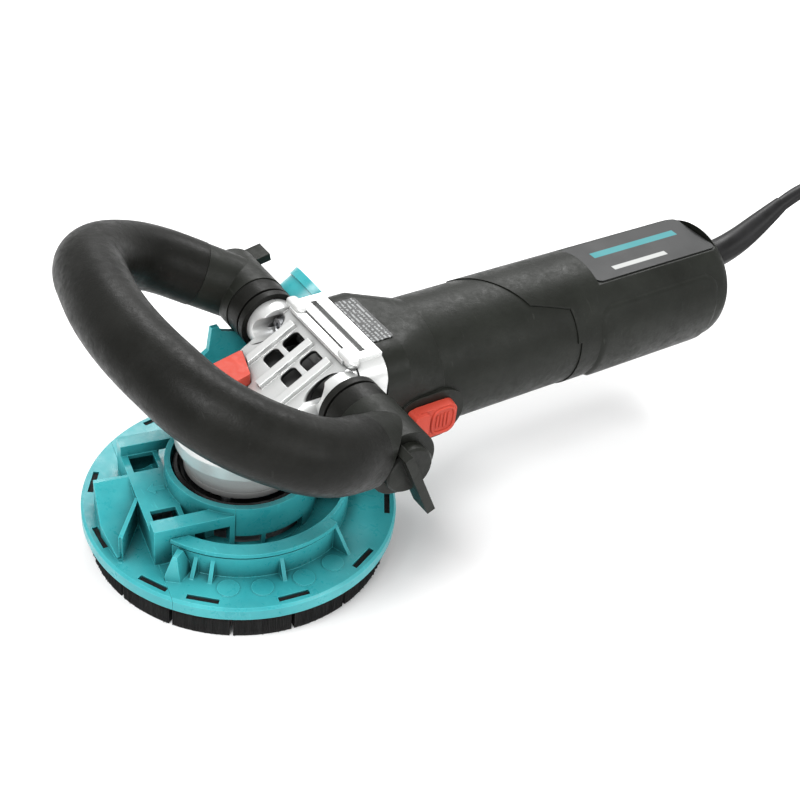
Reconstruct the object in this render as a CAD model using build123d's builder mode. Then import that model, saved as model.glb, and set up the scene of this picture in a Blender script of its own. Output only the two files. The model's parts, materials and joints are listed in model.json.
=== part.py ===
from build123d import *
import os
from math import acos, atan, cos, degrees, pi, radians, sin, sqrt, tan

os.makedirs("parts", exist_ok=True)

# Concrete grinder with a 125 mm cup wheel, a dust hood and a bail handle.
# Millimetres. The origin is on the spindle axis at floor level, +X runs to the
# rear of the machine along the motor, +Z is up, and the left side faces -Y.

# ---------------------------------------------------------------- driving sizes
WHEEL_R = 62.5
AXIS_H = 76.0
SPINDLE_R = 7.0
FIT = 0.02
GAP = 0.3

HOOD_TURN = -10.0
HOOD_R = 82.0
RIM_LOW = 15.5
DECK_TOP = 22.5
DECK_LOW = 20.0
COLLAR_R = 39.5
COLLAR_WALL = 3.0
COLLAR_TOP = 48.0
NECK_R = 21.0

GEARBOX_REAR = 44.0
BRACKET_FRONT = 44.6
BRACKET_REAR = 60.0
BODY_FRONT = 60.3
BODY_R = 36.0
BODY_REAR = 190.4
GRIP_R = 36.6
GRIP_REAR = 311.0
WALL = 3.0
PAD_TOP = 107.0
RELIEF_RISE = 9.3

HINGE_X = 36.0
HINGE_Z = 97.0
HANDLE_SLOPE = 26.6
TUBE_R = 17.5
CORE_R = 13.0
HUB_INNER = 55.0
HUB_OUTER = 87.0
BOLT_R = 5.0

CORD_R = 4.5
CORD_LENGTH = 4000.0
COIL_R = 53.2
COIL_TURNS = 11.5
COIL_ROWS = 4
COIL_LAYERS = 4

motor_axis = Axis((0, 0, AXIS_H), (1, 0, 0))
hood_plane = Plane.XY.rotated((0, 0, HOOD_TURN))


def outline(points, plane=Plane.XZ):
    """A closed outline of straight edges on one plane."""
    with BuildSketch(plane) as shape:
        with BuildLine():
            Polyline(*points, close=True)
        make_face()
    return shape.sketch


def motor_outline(points):
    """An outline of (x, radius) pairs, beside the motor axis."""
    return outline([(x, AXIS_H + radius) for x, radius in points])


def at_motor(x, y=0.0, z=0.0):
    """A plane across the motor axis, looking towards the rear."""
    return Plane(origin=(x, y, AXIS_H + z), x_dir=(0, 1, 0), z_dir=(1, 0, 0))


def across(x, y, z, sign=1):
    """A plane whose normal points out of the machine's side, +Y or -Y."""
    return Plane(origin=(x, y, z), x_dir=(1, 0, 0), z_dir=(0, sign, 0))


# ---------------------------------------------------------------- spindle group
FLANGE_LOW = 19.0
FLANGE_TOP = 26.0
FLANGE_R = 20.0
WHEEL_BORE_R = 11.11
SHOULDER_R = 7.5
SHOULDER_TOP = 50.0

with BuildPart() as spindle:
    revolve(
        outline(
            [
                (0, 6),
                (6.0, 6),
                (SPINDLE_R, 7),
                (SPINDLE_R, FLANGE_TOP),
                (SHOULDER_R, FLANGE_TOP),
                (SHOULDER_R, SHOULDER_TOP),
                (SPINDLE_R, SHOULDER_TOP),
                (SPINDLE_R, 66),
                (5.5, 67),
                (5.5, 75.5),
                (4.0, 76.5),
                (4.0, 83.2),
                (0, 83.2),
            ]
        ),
        axis=Axis.Z,
    )
spindle.part.label = "spindle"
export_step(spindle.part, "parts/spindle.step")

with BuildPart() as inner_flange:
    with BuildSketch(Plane.XY.offset(FLANGE_LOW)):
        Circle(FLANGE_R)
        Circle(SPINDLE_R + FIT, mode=Mode.SUBTRACT)
    extrude(amount=FLANGE_TOP - FLANGE_LOW - FIT)
    with BuildSketch(Plane.XY.offset(FLANGE_LOW - 3)):
        Circle(WHEEL_BORE_R - 2 * FIT)
        Circle(SPINDLE_R + FIT, mode=Mode.SUBTRACT)
    extrude(amount=3)
    chamfer(inner_flange.edges().filter_by(GeomType.CIRCLE).group_by(Axis.Z)[-1], 0.8)
inner_flange.part.label = "inner_flange"
export_step(inner_flange.part, "parts/inner_flange.step")

SEGMENT_LOW = 1.0
SEGMENT_TOP = 7.0
SEGMENT_COUNT = 16
SEGMENT_GAP_DEG = 7.0

with BuildPart() as cup_wheel:
    revolve(
        outline(
            [
                (WHEEL_BORE_R, 14),
                (27, 14),
                (38, SEGMENT_TOP),
                (WHEEL_R, SEGMENT_TOP),
                (WHEEL_R, 10.5),
                (41, 11.5),
                (31, FLANGE_LOW),
                (WHEEL_BORE_R, FLANGE_LOW),
            ]
        ),
        axis=Axis.Z,
    )
    with PolarLocations(34.5, 8):
        Hole(radius=3.0)
cup_wheel.part.label = "cup_wheel"
export_step(cup_wheel.part, "parts/cup_wheel.step")


def arc_strip(inner, outer, start_deg, sweep_deg, plane):
    """A strip of a ring between two radii, over one stretch of angle."""
    with BuildSketch(plane) as strip:
        with BuildLine():
            rim = CenterArc((0, 0), outer, start_deg, sweep_deg)
            hub = CenterArc((0, 0), inner, start_deg, sweep_deg)
            Line(rim @ 0, hub @ 0)
            Line(rim @ 1, hub @ 1)
        make_face()
    return strip.sketch


with BuildPart() as diamond_segments:
    pitch_deg = 360 / SEGMENT_COUNT
    for index in range(SEGMENT_COUNT):
        start = index * pitch_deg + SEGMENT_GAP_DEG / 2
        floor_plane = Plane.XY.offset(SEGMENT_LOW)
        strip = arc_strip(50, WHEEL_R - 0.3, start, pitch_deg - SEGMENT_GAP_DEG, floor_plane)
        extrude(strip, amount=SEGMENT_TOP - SEGMENT_LOW)
diamond_segments.part.label = "diamond_segments"
export_step(diamond_segments.part, "parts/diamond_segments.step")

with BuildPart() as clamp_nut:
    with BuildSketch(Plane.XY.offset(8.5)):
        Circle(19.5)
        Circle(SPINDLE_R + FIT, mode=Mode.SUBTRACT)
        with PolarLocations(15, 4):
            Circle(2.5, mode=Mode.SUBTRACT)
    extrude(amount=5.5)
clamp_nut.part.label = "clamp_nut"
export_step(clamp_nut.part, "parts/clamp_nut.step")

# ------------------------------------------------- straight bevel gears, 10 : 32
MODULE = 1.6
RING_TEETH = 32
PINION_TEETH = 10
FACE_WIDTH = 8.0
BACKLASH = 0.14
PRESSURE = radians(20)
PINION_CONE = atan(PINION_TEETH / RING_TEETH)
RING_CONE = pi / 2 - PINION_CONE
CONE_DISTANCE = MODULE * RING_TEETH / 2 / sin(RING_CONE)
INNER_DISTANCE = CONE_DISTANCE - FACE_WIDTH
TIP = 0.95
ROOT = 1.2


def involute(angle):
    return tan(angle) - angle


def tooth_outline(teeth, cone, distance, side):
    """One tooth on its back cone, at a distance from the point where the axes cross."""
    module = MODULE * distance / CONE_DISTANCE
    pitch_r = module * teeth / cos(cone) / 2
    base_r = pitch_r * cos(PRESSURE)
    half = (pi * module / 4 - BACKLASH) / pitch_r
    flank = []
    for step in range(6):
        radius = pitch_r + module * (-ROOT - 0.15 + (TIP + ROOT + 0.15) * step / 5)
        spread = half + involute(PRESSURE) - involute(acos(min(1, base_r / radius)))
        flank.append((radius * sin(spread), radius * cos(spread) - pitch_r))
    mirrored = [(-x, y) for x, y in reversed(flank)]
    along = (cos(PINION_CONE), 0, -sin(PINION_CONE))
    origin = (along[0] * distance, 0, AXIS_H + along[2] * distance)
    return outline(flank + mirrored, Plane(origin=origin, x_dir=(0, side, 0), z_dir=along))


def cone_point(cone, distance, height):
    """(along the axis from the crossing point, radius) of a point beside a pitch cone."""
    return (
        distance * cos(cone) - height * sin(cone),
        distance * sin(cone) + height * cos(cone),
    )


with BuildPart() as ring_tooth:
    loft(
        [
            tooth_outline(RING_TEETH, RING_CONE, INNER_DISTANCE, 1),
            tooth_outline(RING_TEETH, RING_CONE, CONE_DISTANCE, 1),
        ],
        ruled=True,
    )

with BuildPart() as pinion_tooth:
    loft(
        [
            tooth_outline(PINION_TEETH, PINION_CONE, INNER_DISTANCE, -1),
            tooth_outline(PINION_TEETH, PINION_CONE, CONE_DISTANCE, -1),
        ],
        ruled=True,
    )

GEAR_WEB_TOP = 67.0
LOCK_R = 13.0
LOCK_PIN_R = 2.5
LOCK_HOLES = 8
ROOT_MARGIN = 0.6
root_out = cone_point(
    RING_CONE, CONE_DISTANCE + ROOT_MARGIN, -ROOT * MODULE * (1 + ROOT_MARGIN / CONE_DISTANCE)
)
root_in = cone_point(
    RING_CONE,
    INNER_DISTANCE - ROOT_MARGIN,
    -ROOT * MODULE * (INNER_DISTANCE - ROOT_MARGIN) / CONE_DISTANCE,
)

with BuildPart() as ring_gear:
    revolve(
        outline(
            [
                (SPINDLE_R + FIT, SHOULDER_TOP + FIT),
                (13, SHOULDER_TOP + FIT),
                (13, 57),
                (24, 59.5),
                (root_out[1], AXIS_H - root_out[0]),
                (root_in[1], AXIS_H - root_in[0]),
                (root_in[1] - 0.4, GEAR_WEB_TOP),
                (10, GEAR_WEB_TOP),
                (10, 66),
                (SPINDLE_R + FIT, 66),
            ]
        ),
        axis=Axis.Z,
    )
    with Locations((0, 0, GEAR_WEB_TOP)):
        with PolarLocations(LOCK_R, LOCK_HOLES):
            Hole(radius=LOCK_PIN_R + 0.4, depth=6)
    add([ring_tooth.part.rotate(Axis.Z, index * 360 / RING_TEETH) for index in range(RING_TEETH)])
ring_gear.part.label = "ring_gear"
export_step(ring_gear.part, "parts/ring_gear.step")

SHAFT_TIP_R = 3.0
SHAFT_FRONT_R = 5.0
SHAFT_R = 6.0
SHAFT_REAR_R = 4.0
pinion_out = cone_point(PINION_CONE, CONE_DISTANCE, -ROOT * MODULE)
pinion_in = cone_point(
    PINION_CONE, INNER_DISTANCE, -ROOT * MODULE * INNER_DISTANCE / CONE_DISTANCE
)

with BuildPart() as pinion:
    revolve(
        motor_outline(
            [
                (pinion_in[0], SHAFT_TIP_R + FIT),
                pinion_in,
                pinion_out,
                (28, 6.6),
                (34, 6.6),
                (34, SHAFT_TIP_R + FIT),
            ]
        ),
        axis=motor_axis,
    )
    # Half a tooth pitch round from the ring gear's teeth, so that they mesh.
    turns = [(index + 0.5) * 360 / PINION_TEETH for index in range(PINION_TEETH)]
    add([pinion_tooth.part.rotate(motor_axis, turn) for turn in turns])
pinion.part.label = "pinion"
export_step(pinion.part, "parts/pinion.step")

# --------------------------------------------------------------- armature group
FRONT_BEARING = 49.0
REAR_BEARING = 179.0
CORE_FRONT = 93.0
CORE_REAR = 141.0
ARMATURE_R = 20.0
ARMATURE_SLOTS = 12
COMMUTATOR_R = 11.5
COMMUTATOR_BARS = 24

with BuildPart() as armature_shaft:
    revolve(
        motor_outline(
            [
                (17, 0),
                (17, SHAFT_TIP_R),
                (34, SHAFT_TIP_R),
                (34, SHAFT_FRONT_R),
                (60, SHAFT_FRONT_R),
                (60, SHAFT_R),
                (177, SHAFT_R),
                (177, SHAFT_REAR_R),
                (188, SHAFT_REAR_R),
                (188, 0),
            ]
        ),
        axis=motor_axis,
    )
armature_shaft.part.label = "armature_shaft"
export_step(armature_shaft.part, "parts/armature_shaft.step")

with BuildPart() as armature_core:
    with BuildSketch(at_motor(CORE_FRONT)):
        Circle(ARMATURE_R)
        Circle(SHAFT_R + FIT, mode=Mode.SUBTRACT)
        with PolarLocations(ARMATURE_R - 3.5, ARMATURE_SLOTS):
            SlotOverall(8.5, 3.0, mode=Mode.SUBTRACT)
    extrude(amount=CORE_REAR - CORE_FRONT)
armature_core.part.label = "armature_core"
export_step(armature_core.part, "parts/armature_core.step")

with BuildPart() as armature_windings:
    for start, end in ((CORE_FRONT - 9, CORE_FRONT - FIT), (CORE_REAR + FIT, CORE_REAR + 9)):
        with BuildSketch(at_motor(start)):
            Circle(ARMATURE_R - 2)
            Circle(SHAFT_R + 1, mode=Mode.SUBTRACT)
        extrude(amount=end - start)
    fillet(armature_windings.edges().filter_by(GeomType.CIRCLE).group_by(Axis.X)[0], 2.0)
    fillet(armature_windings.edges().filter_by(GeomType.CIRCLE).group_by(Axis.X)[-1], 2.0)
armature_windings.part.label = "armature_windings"
export_step(armature_windings.part, "parts/armature_windings.step")

with BuildPart() as commutator:
    with BuildSketch(at_motor(155)):
        Circle(COMMUTATOR_R)
        Circle(SHAFT_R + FIT, mode=Mode.SUBTRACT)
    extrude(amount=17)
    with BuildSketch(at_motor(157)):
        with PolarLocations(COMMUTATOR_R, COMMUTATOR_BARS):
            Rectangle(2.4, 0.4)
    extrude(amount=15, mode=Mode.SUBTRACT)
commutator.part.label = "commutator"
export_step(commutator.part, "parts/commutator.step")

FAN_FRONT = 64.0
FAN_R = 30.5
FAN_BLADES = 13

with BuildPart() as fan:
    with BuildSketch(at_motor(FAN_FRONT)):
        Circle(11)
        Circle(SHAFT_R + FIT, mode=Mode.SUBTRACT)
    extrude(amount=14)
    with BuildSketch(at_motor(FAN_FRONT + 12)):
        Circle(FAN_R)
        Circle(10, mode=Mode.SUBTRACT)
    extrude(amount=2)
    with BuildSketch(at_motor(FAN_FRONT + 2)):
        with PolarLocations((FAN_R + 12) / 2, FAN_BLADES, start_angle=8):
            Rectangle(FAN_R - 12, 1.6, rotation=24)
    extrude(amount=11)
fan.part.label = "fan"
export_step(fan.part, "parts/fan.step")

# ------------------------------------------------------------------ ball bearings


def bearing_solids(plane, bore_r, outer_r, width, ball_count):
    """Outer race, inner race and balls, each a solid of its own, along a plane's normal."""
    wall = (outer_r - bore_r) / 4
    middle = (outer_r + bore_r) / 2
    with BuildPart() as bearing:
        with BuildSketch(plane):
            Circle(outer_r)
            Circle(outer_r - wall, mode=Mode.SUBTRACT)
        extrude(amount=width)
        with BuildSketch(plane):
            Circle(bore_r + wall)
            Circle(bore_r, mode=Mode.SUBTRACT)
        extrude(amount=width)
        with Locations(plane.offset(width / 2)):
            with PolarLocations(middle, ball_count):
                Sphere(wall - 0.05)
    return bearing.part


with BuildPart() as spindle_bearing:
    add(bearing_solids(Plane.XY.offset(36), SHOULDER_R + FIT, 17.5, 11, 9))
spindle_bearing.part.label = "spindle_bearing"
export_step(spindle_bearing.part, "parts/spindle_bearing.step")

with BuildPart() as armature_bearing_front:
    add(bearing_solids(at_motor(FRONT_BEARING), SHAFT_FRONT_R + FIT, 15, 9, 8))
armature_bearing_front.part.label = "armature_bearing_front"
export_step(armature_bearing_front.part, "parts/armature_bearing_front.step")

with BuildPart() as armature_bearing_rear:
    add(bearing_solids(at_motor(REAR_BEARING), SHAFT_REAR_R + FIT, 11, 7, 7))
armature_bearing_rear.part.label = "armature_bearing_rear"
export_step(armature_bearing_rear.part, "parts/armature_bearing_rear.step")

TOP_BEARING_LOW = 77.0

with BuildPart() as spindle_top_bearing:
    with BuildSketch(Plane.XY.offset(TOP_BEARING_LOW)):
        Circle(6.5)
        Circle(4.0 + FIT, mode=Mode.SUBTRACT)
    extrude(amount=6)
spindle_top_bearing.part.label = "spindle_top_bearing"
export_step(spindle_top_bearing.part, "parts/spindle_top_bearing.step")

# ----------------------------------------------------- bearing box under the gears
BOX_FLANGE_LOW = 46.5
BOX_FLANGE_TOP = 50.0
BOX_FLANGE_R = 30.0
BOX_SCREW_R = 25.5
BEARING_SEAT_R = 17.5

with BuildPart() as bearing_box:
    revolve(
        outline(
            [
                (12, 28),
                (NECK_R - 1, 28),
                (NECK_R, 29),
                (NECK_R, BOX_FLANGE_LOW),
                (BOX_FLANGE_R, BOX_FLANGE_LOW),
                (BOX_FLANGE_R, BOX_FLANGE_TOP),
                (BEARING_SEAT_R, BOX_FLANGE_TOP),
                (BEARING_SEAT_R, 36),
                (12, 36),
            ]
        ),
        axis=Axis.Z,
    )
    with Locations((0, 0, BOX_FLANGE_TOP)):
        with PolarLocations(BOX_SCREW_R, 4, start_angle=45):
            Hole(radius=2.1, depth=5)
bearing_box.part.label = "bearing_box"
export_step(bearing_box.part, "parts/bearing_box.step")

with BuildPart() as bearing_box_screws:
    with BuildSketch(Plane.XY.offset(BOX_FLANGE_LOW - FIT)):
        with PolarLocations(BOX_SCREW_R, 4, start_angle=45):
            Circle(3.5)
    extrude(amount=-2.2)
    with BuildSketch(Plane.XY.offset(BOX_FLANGE_LOW - 1)):
        with PolarLocations(BOX_SCREW_R, 4, start_angle=45):
            Circle(2.0)
    extrude(amount=10.5)
bearing_box_screws.part.label = "bearing_box_screws"
export_step(bearing_box_screws.part, "parts/bearing_box_screws.step")

NECK_RING_R = 35.0

with BuildPart() as neck_ring:
    revolve(
        outline(
            [
                (NECK_R + FIT, 40.2),
                (NECK_RING_R, 40.2),
                (NECK_RING_R, 45.5),
                (NECK_RING_R - 2, 46.2),
                (NECK_RING_R - 3.5, 44.2),
                (NECK_R + FIT, 44.2),
            ]
        ),
        axis=Axis.Z,
    )
neck_ring.part.label = "neck_ring"
export_step(neck_ring.part, "parts/neck_ring.step")

# -------------------------------------------------------------------- gear housing
SHOULDER_Z = 88.0
BUTTON_TOP = 95.0
BUTTON_LOW = 89.0
POCKET_LOW = 84.2
button_corners = [(13, 27), (-11, 21), (-7, 2), (7, 6)]
VENT_SLOPE = 31.0
RIB_SPACING = 17.6
RIB_WIDTH = 4.6
RIB_HEIGHT = 2.8
VENT_HEIGHT = 11.0
BOSS_END = 39.0
BLOCK_HALF = 36.5
SCREW_Y = 28.0
SCREW_Z = 26.0
CHAMBER_R = 27.3
CHAMBER_LOW_R = 21.3
CHAMBER_STEP = 56.8
CHAMBER_TOP = 73.5
BOLT_INNER = 33.5
screw_places = [(y, z) for y in (SCREW_Y, -SCREW_Y) for z in (SCREW_Z, -SCREW_Z)]


def across_square(x, half_width, low, top, corner):
    """A rounded rectangle across the motor axis."""
    with BuildSketch(Plane(origin=(x, 0, (low + top) / 2), x_dir=(0, 1, 0), z_dir=(1, 0, 0))) as face:
        RectangleRounded(2 * half_width, top - low, corner)
    return face.sketch


slope_plane = Plane(
    origin=(23, 0, 99.5),
    x_dir=(cos(radians(VENT_SLOPE)), 0, sin(radians(VENT_SLOPE))),
    z_dir=(-sin(radians(VENT_SLOPE)), 0, cos(radians(VENT_SLOPE))),
)

with BuildPart() as gear_housing:
    revolve(
        outline(
            [
                (0, BOX_FLANGE_TOP + FIT),
                (30, BOX_FLANGE_TOP + FIT),
                (31, 54),
                (34.5, 62),
                (35.5, 70),
                (34, 80),
                (27, SHOULDER_Z),
                (0, SHOULDER_Z + 2),
            ]
        ),
        axis=Axis.Z,
    )
    loft(
        [
            across_square(0, 31, 52, 89, 12),
            across_square(GEARBOX_REAR, 36.5, 41, 113, 13),
        ],
        ruled=True,
    )
    # The top runs down to the front shoulder in one straight slope.
    with BuildSketch(slope_plane):
        Rectangle(70, 90)
    extrude(amount=30, mode=Mode.SUBTRACT)
    with BuildSketch(at_motor(GEARBOX_REAR - 5)):
        with Locations((0, 37)):
            Rectangle(2 * SCREW_Y - 4, 2)
    extrude(amount=5)
    # Three ribs stand on the slope, over the air outlets.
    with BuildSketch(slope_plane.offset(-2)):
        with Locations((0, 0), (0, RIB_SPACING), (0, -RIB_SPACING)):
            Rectangle(34, RIB_WIDTH)
    extrude(amount=RIB_HEIGHT + 2)
    # Side bosses carry the bail handle.
    for sign in (1, -1):
        with BuildSketch(across(HINGE_X, sign * 30, HINGE_Z, sign)):
            Circle(14)
        extrude(amount=BOSS_END - 30)
    # Below, it sits on the bearing box flange and clears the ring round the neck.
    with BuildSketch(Plane.XY.offset(30)):
        Circle(BOX_FLANGE_R + GAP)
    extrude(amount=BOX_FLANGE_TOP - 30 + FIT, mode=Mode.SUBTRACT)
    with BuildSketch(Plane.XY.offset(30)):
        Circle(COLLAR_R + 1)
    extrude(amount=COLLAR_TOP - 30 + GAP, mode=Mode.SUBTRACT)
    # Inside: gear chamber, pinion throat, spindle bearing seat and air chamber.
    with BuildSketch(Plane.XY.offset(BOX_FLANGE_TOP - 1)):
        Circle(CHAMBER_LOW_R)
    extrude(amount=12, mode=Mode.SUBTRACT)
    with BuildSketch(Plane.XY.offset(CHAMBER_STEP)):
        Circle(CHAMBER_R)
    extrude(amount=CHAMBER_TOP - CHAMBER_STEP, mode=Mode.SUBTRACT)
    with BuildSketch(at_motor(8)):
        Circle(11.5)
    extrude(amount=GEARBOX_REAR - 8 + 1, mode=Mode.SUBTRACT)
    with BuildSketch(Plane.XY.offset(72)):
        Circle(6.5 + FIT)
    extrude(amount=11.4, mode=Mode.SUBTRACT)
    with BuildSketch(Plane(origin=(0, 0, 0), x_dir=(1, 0, 0), z_dir=(0, -1, 0))):
        with BuildLine():
            Polyline((15, 88.6), (45, 88.6), (45, 109), (40.5, 107), (15, 91.7), close=True)
        make_face()
    extrude(amount=26, both=True, mode=Mode.SUBTRACT)
    # Four outlets through the slope, in two rows beside the middle rib.
    with BuildSketch(slope_plane.offset(3)):
        with Locations((10.6, RIB_SPACING / 2), (10.6, -RIB_SPACING / 2)):
            RectangleRounded(10.4, VENT_HEIGHT, 3)
        with Locations((-2.2, RIB_SPACING / 2), (-2.2, -RIB_SPACING / 2)):
            RectangleRounded(9.6, VENT_HEIGHT, 3)
    extrude(amount=-12, mode=Mode.SUBTRACT)
    # Lock button pocket and pin hole.
    with BuildSketch(Plane.XY.offset(POCKET_LOW)):
        with BuildLine():
            Polyline(*button_corners, close=True)
        make_face()
        offset(amount=GAP, kind=Kind.INTERSECTION)
    extrude(amount=20, mode=Mode.SUBTRACT)
    with BuildSketch(Plane.XY.offset(70)):
        with Locations((0, LOCK_R)):
            Circle(LOCK_PIN_R + 0.05)
    extrude(amount=15, mode=Mode.SUBTRACT)
    with BuildSketch(Plane.XY.offset(77)):
        with Locations((0, LOCK_R)):
            Circle(4.6)
    extrude(amount=POCKET_LOW - 77 + 1, mode=Mode.SUBTRACT)
    # Screws: four along the motor axis in corner pockets, four up from below.
    with BuildSketch(at_motor(30)):
        with Locations(*screw_places):
            Circle(2.6)
    extrude(amount=20, mode=Mode.SUBTRACT)
    with BuildSketch(at_motor(10)):
        with Locations(*screw_places):
            Circle(6)
    extrude(amount=28, mode=Mode.SUBTRACT)
    with BuildSketch(Plane.XY.offset(BOX_FLANGE_TOP)):
        with PolarLocations(BOX_SCREW_R, 4, start_angle=45):
            Circle(2.1)
    extrude(amount=7, mode=Mode.SUBTRACT)
    # The bosses stay beside the bracket, not inside it.
    with BuildSketch(at_motor(GEARBOX_REAR)):
        Rectangle(2 * BLOCK_HALF + 1, 90)
    extrude(amount=20, mode=Mode.SUBTRACT)
    # Bolt holes of the bail handle, blind from each side.
    for sign in (1, -1):
        with BuildSketch(across(HINGE_X, sign * (BOLT_INNER - 0.5), HINGE_Z, sign)):
            Circle(BOLT_R + 0.05)
        extrude(amount=BOSS_END, mode=Mode.SUBTRACT)
gear_housing.part.label = "gear_housing"
export_step(gear_housing.part, "parts/gear_housing.step")

# ------------------------------------------------- gasket and bearing bracket behind

with BuildPart() as housing_gasket:
    extrude(across_square(GEARBOX_REAR + FIT, BLOCK_HALF, 41, 113, 13), amount=0.54)
    with BuildSketch(at_motor(GEARBOX_REAR)):
        Circle(24)
        with Locations((0, 25)):
            Rectangle(52, 21)
        with Locations(*screw_places):
            Circle(2.6)
    extrude(amount=1, mode=Mode.SUBTRACT)
housing_gasket.part.label = "housing_gasket"
export_step(housing_gasket.part, "parts/housing_gasket.step")

with BuildPart() as bearing_bracket:
    extrude(
        across_square(BRACKET_FRONT, BLOCK_HALF, 40, 114, 13),
        amount=BRACKET_REAR - BRACKET_FRONT,
    )
    # Two flat bars with a groove between them run across the top.
    with BuildSketch(at_motor(BRACKET_FRONT)):
        with Locations((0, 36.5)):
            Rectangle(58, 5)
    extrude(amount=BRACKET_REAR - BRACKET_FRONT)
    with BuildSketch(at_motor(BRACKET_FRONT + 5.5)):
        with Locations((0, 39)):
            Rectangle(48, 6)
    extrude(amount=3.2, mode=Mode.SUBTRACT)
    with BuildSketch(at_motor(BRACKET_FRONT - 1)):
        Circle(SHAFT_FRONT_R + 3)
    extrude(amount=30, mode=Mode.SUBTRACT)
    with BuildSketch(at_motor(FRONT_BEARING - FIT)):
        Circle(15)
    extrude(amount=30, mode=Mode.SUBTRACT)
    # Air windows between the fan and the outlets.
    with BuildSketch(at_motor(BRACKET_FRONT - 1)):
        with Locations((0, 25)):
            Rectangle(46, 12)
        with Locations((0, -26)):
            Rectangle(40, 10)
        with Locations(*screw_places):
            Circle(2.6)
    extrude(amount=30, mode=Mode.SUBTRACT)
bearing_bracket.part.label = "bearing_bracket"
export_step(bearing_bracket.part, "parts/bearing_bracket.step")

with BuildPart() as housing_screws:
    with BuildSketch(at_motor(38 - FIT)):
        with Locations(*screw_places):
            Circle(4.2)
    extrude(amount=-4)
    with BuildSketch(at_motor(34 - FIT)):
        with Locations(*screw_places):
            RegularPolygon(2.2, 6)
    extrude(amount=2.4, mode=Mode.SUBTRACT)
    with BuildSketch(at_motor(37)):
        with Locations(*screw_places):
            Circle(2.45)
    extrude(amount=38)
housing_screws.part.label = "housing_screws"
export_step(housing_screws.part, "parts/housing_screws.step")

with BuildPart() as damper_rings:
    for sign in (1, -1):
        with BuildSketch(across(HINGE_X, sign * (BOSS_END + FIT), HINGE_Z, sign)):
            Circle(TUBE_R - 0.5)
            Circle(BOLT_R + 0.5, mode=Mode.SUBTRACT)
        extrude(amount=HUB_INNER - BOSS_END - GAP)
        with BuildSketch(across(HINGE_X, sign * (BOSS_END + 4), HINGE_Z, sign)):
            Circle(TUBE_R + 1)
            Circle(TUBE_R - 2, mode=Mode.SUBTRACT)
        extrude(amount=1.6, mode=Mode.SUBTRACT)
damper_rings.part.label = "damper_rings"
export_step(damper_rings.part, "parts/damper_rings.step")

# -------------------------------------------------------- motor housing and grip
SQUARE_REAR = 74.0
ROUND_FRONT = 98.0
WEB_FRONT = 176.0
SLOT_FRONT = 66.0
SLOT_REAR = 94.0
SWITCH_Z = 70.0
# The grip's top skin reaches forward over the motor housing, with a slanted edge.
tongue_edge = [(188.6, -38), (186, -25.5), (162, -19), (138, 25), (160, 38)]


def tongue_region(inset, rear):
    """The space over the motor that the grip's forward skin fills."""
    with BuildPart() as region:
        with BuildSketch(Plane.XY.offset(AXIS_H + 8 - inset)):
            with BuildLine():
                Polyline((rear, -38), *tongue_edge, (rear, 38), close=True)
            make_face()
            offset(amount=inset, kind=Kind.INTERSECTION)
        extrude(amount=40)
    return region.part


with BuildPart() as motor_housing:
    extrude(across_square(BODY_FRONT, 37, 39.5, 113.5, 17), amount=SQUARE_REAR - BODY_FRONT)
    loft(
        [
            across_square(SQUARE_REAR, 37, 39.5, 113.5, 17),
            across_square(ROUND_FRONT, BODY_R, AXIS_H - BODY_R, AXIS_H + BODY_R, BODY_R - 0.5),
        ]
    )
    with BuildSketch(at_motor(ROUND_FRONT)):
        Circle(BODY_R)
    extrude(amount=BODY_REAR - ROUND_FRONT)
    # Raised surround of the slide switch on the left side.
    with BuildSketch(across(88, -30, SWITCH_Z, -1)):
        SlotOverall(44, 30)
    extrude(amount=8)
    with BuildSketch(at_motor(BODY_FRONT - 1)):
        Circle(BODY_R - WALL)
    extrude(amount=BODY_REAR - BODY_FRONT + 2, mode=Mode.SUBTRACT)
    # A ring on four arms holds the rear bearing and lets air and wires through.
    with BuildSketch(at_motor(WEB_FRONT)):
        Circle(14)
        Rectangle(5, 2 * BODY_R - WALL)
        Rectangle(2 * BODY_R - WALL, 5)
    extrude(amount=BODY_REAR - WEB_FRONT)
    with BuildSketch(at_motor(WEB_FRONT - 1)):
        Circle(11)
    extrude(amount=REAR_BEARING + 7 - WEB_FRONT + 1 + FIT, mode=Mode.SUBTRACT)
    with BuildSketch(at_motor(WEB_FRONT - 1)):
        Circle(SHAFT_REAR_R + 1)
    extrude(amount=16, mode=Mode.SUBTRACT)
    with BuildSketch(across((SLOT_FRONT + SLOT_REAR) / 2, -30, SWITCH_Z, -1)):
        Rectangle(SLOT_REAR - SLOT_FRONT, 9)
    extrude(amount=10, mode=Mode.SUBTRACT)
    with BuildSketch(at_motor(BODY_FRONT - 1)):
        with Locations(*screw_places):
            Circle(2.5)
    extrude(amount=17, mode=Mode.SUBTRACT)
    add(tongue_region(GAP / 2, BODY_REAR + 1), mode=Mode.SUBTRACT)
motor_housing.part.label = "motor_housing"
export_step(motor_housing.part, "parts/motor_housing.step")

PAD_FRONT = 211.0
PAD_REAR = 304.0


def tongue_skin():
    """The curved skin that reaches forward from the grip over the motor housing."""
    with BuildPart() as skin:
        with BuildSketch(at_motor(130)):
            Circle(GRIP_R)
            Circle(GRIP_R - WALL, mode=Mode.SUBTRACT)
        extrude(amount=BODY_REAR + 2 - 130)
        add(tongue_region(-GAP / 2, BODY_REAR + 2), mode=Mode.INTERSECT)
    return skin.part

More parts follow.
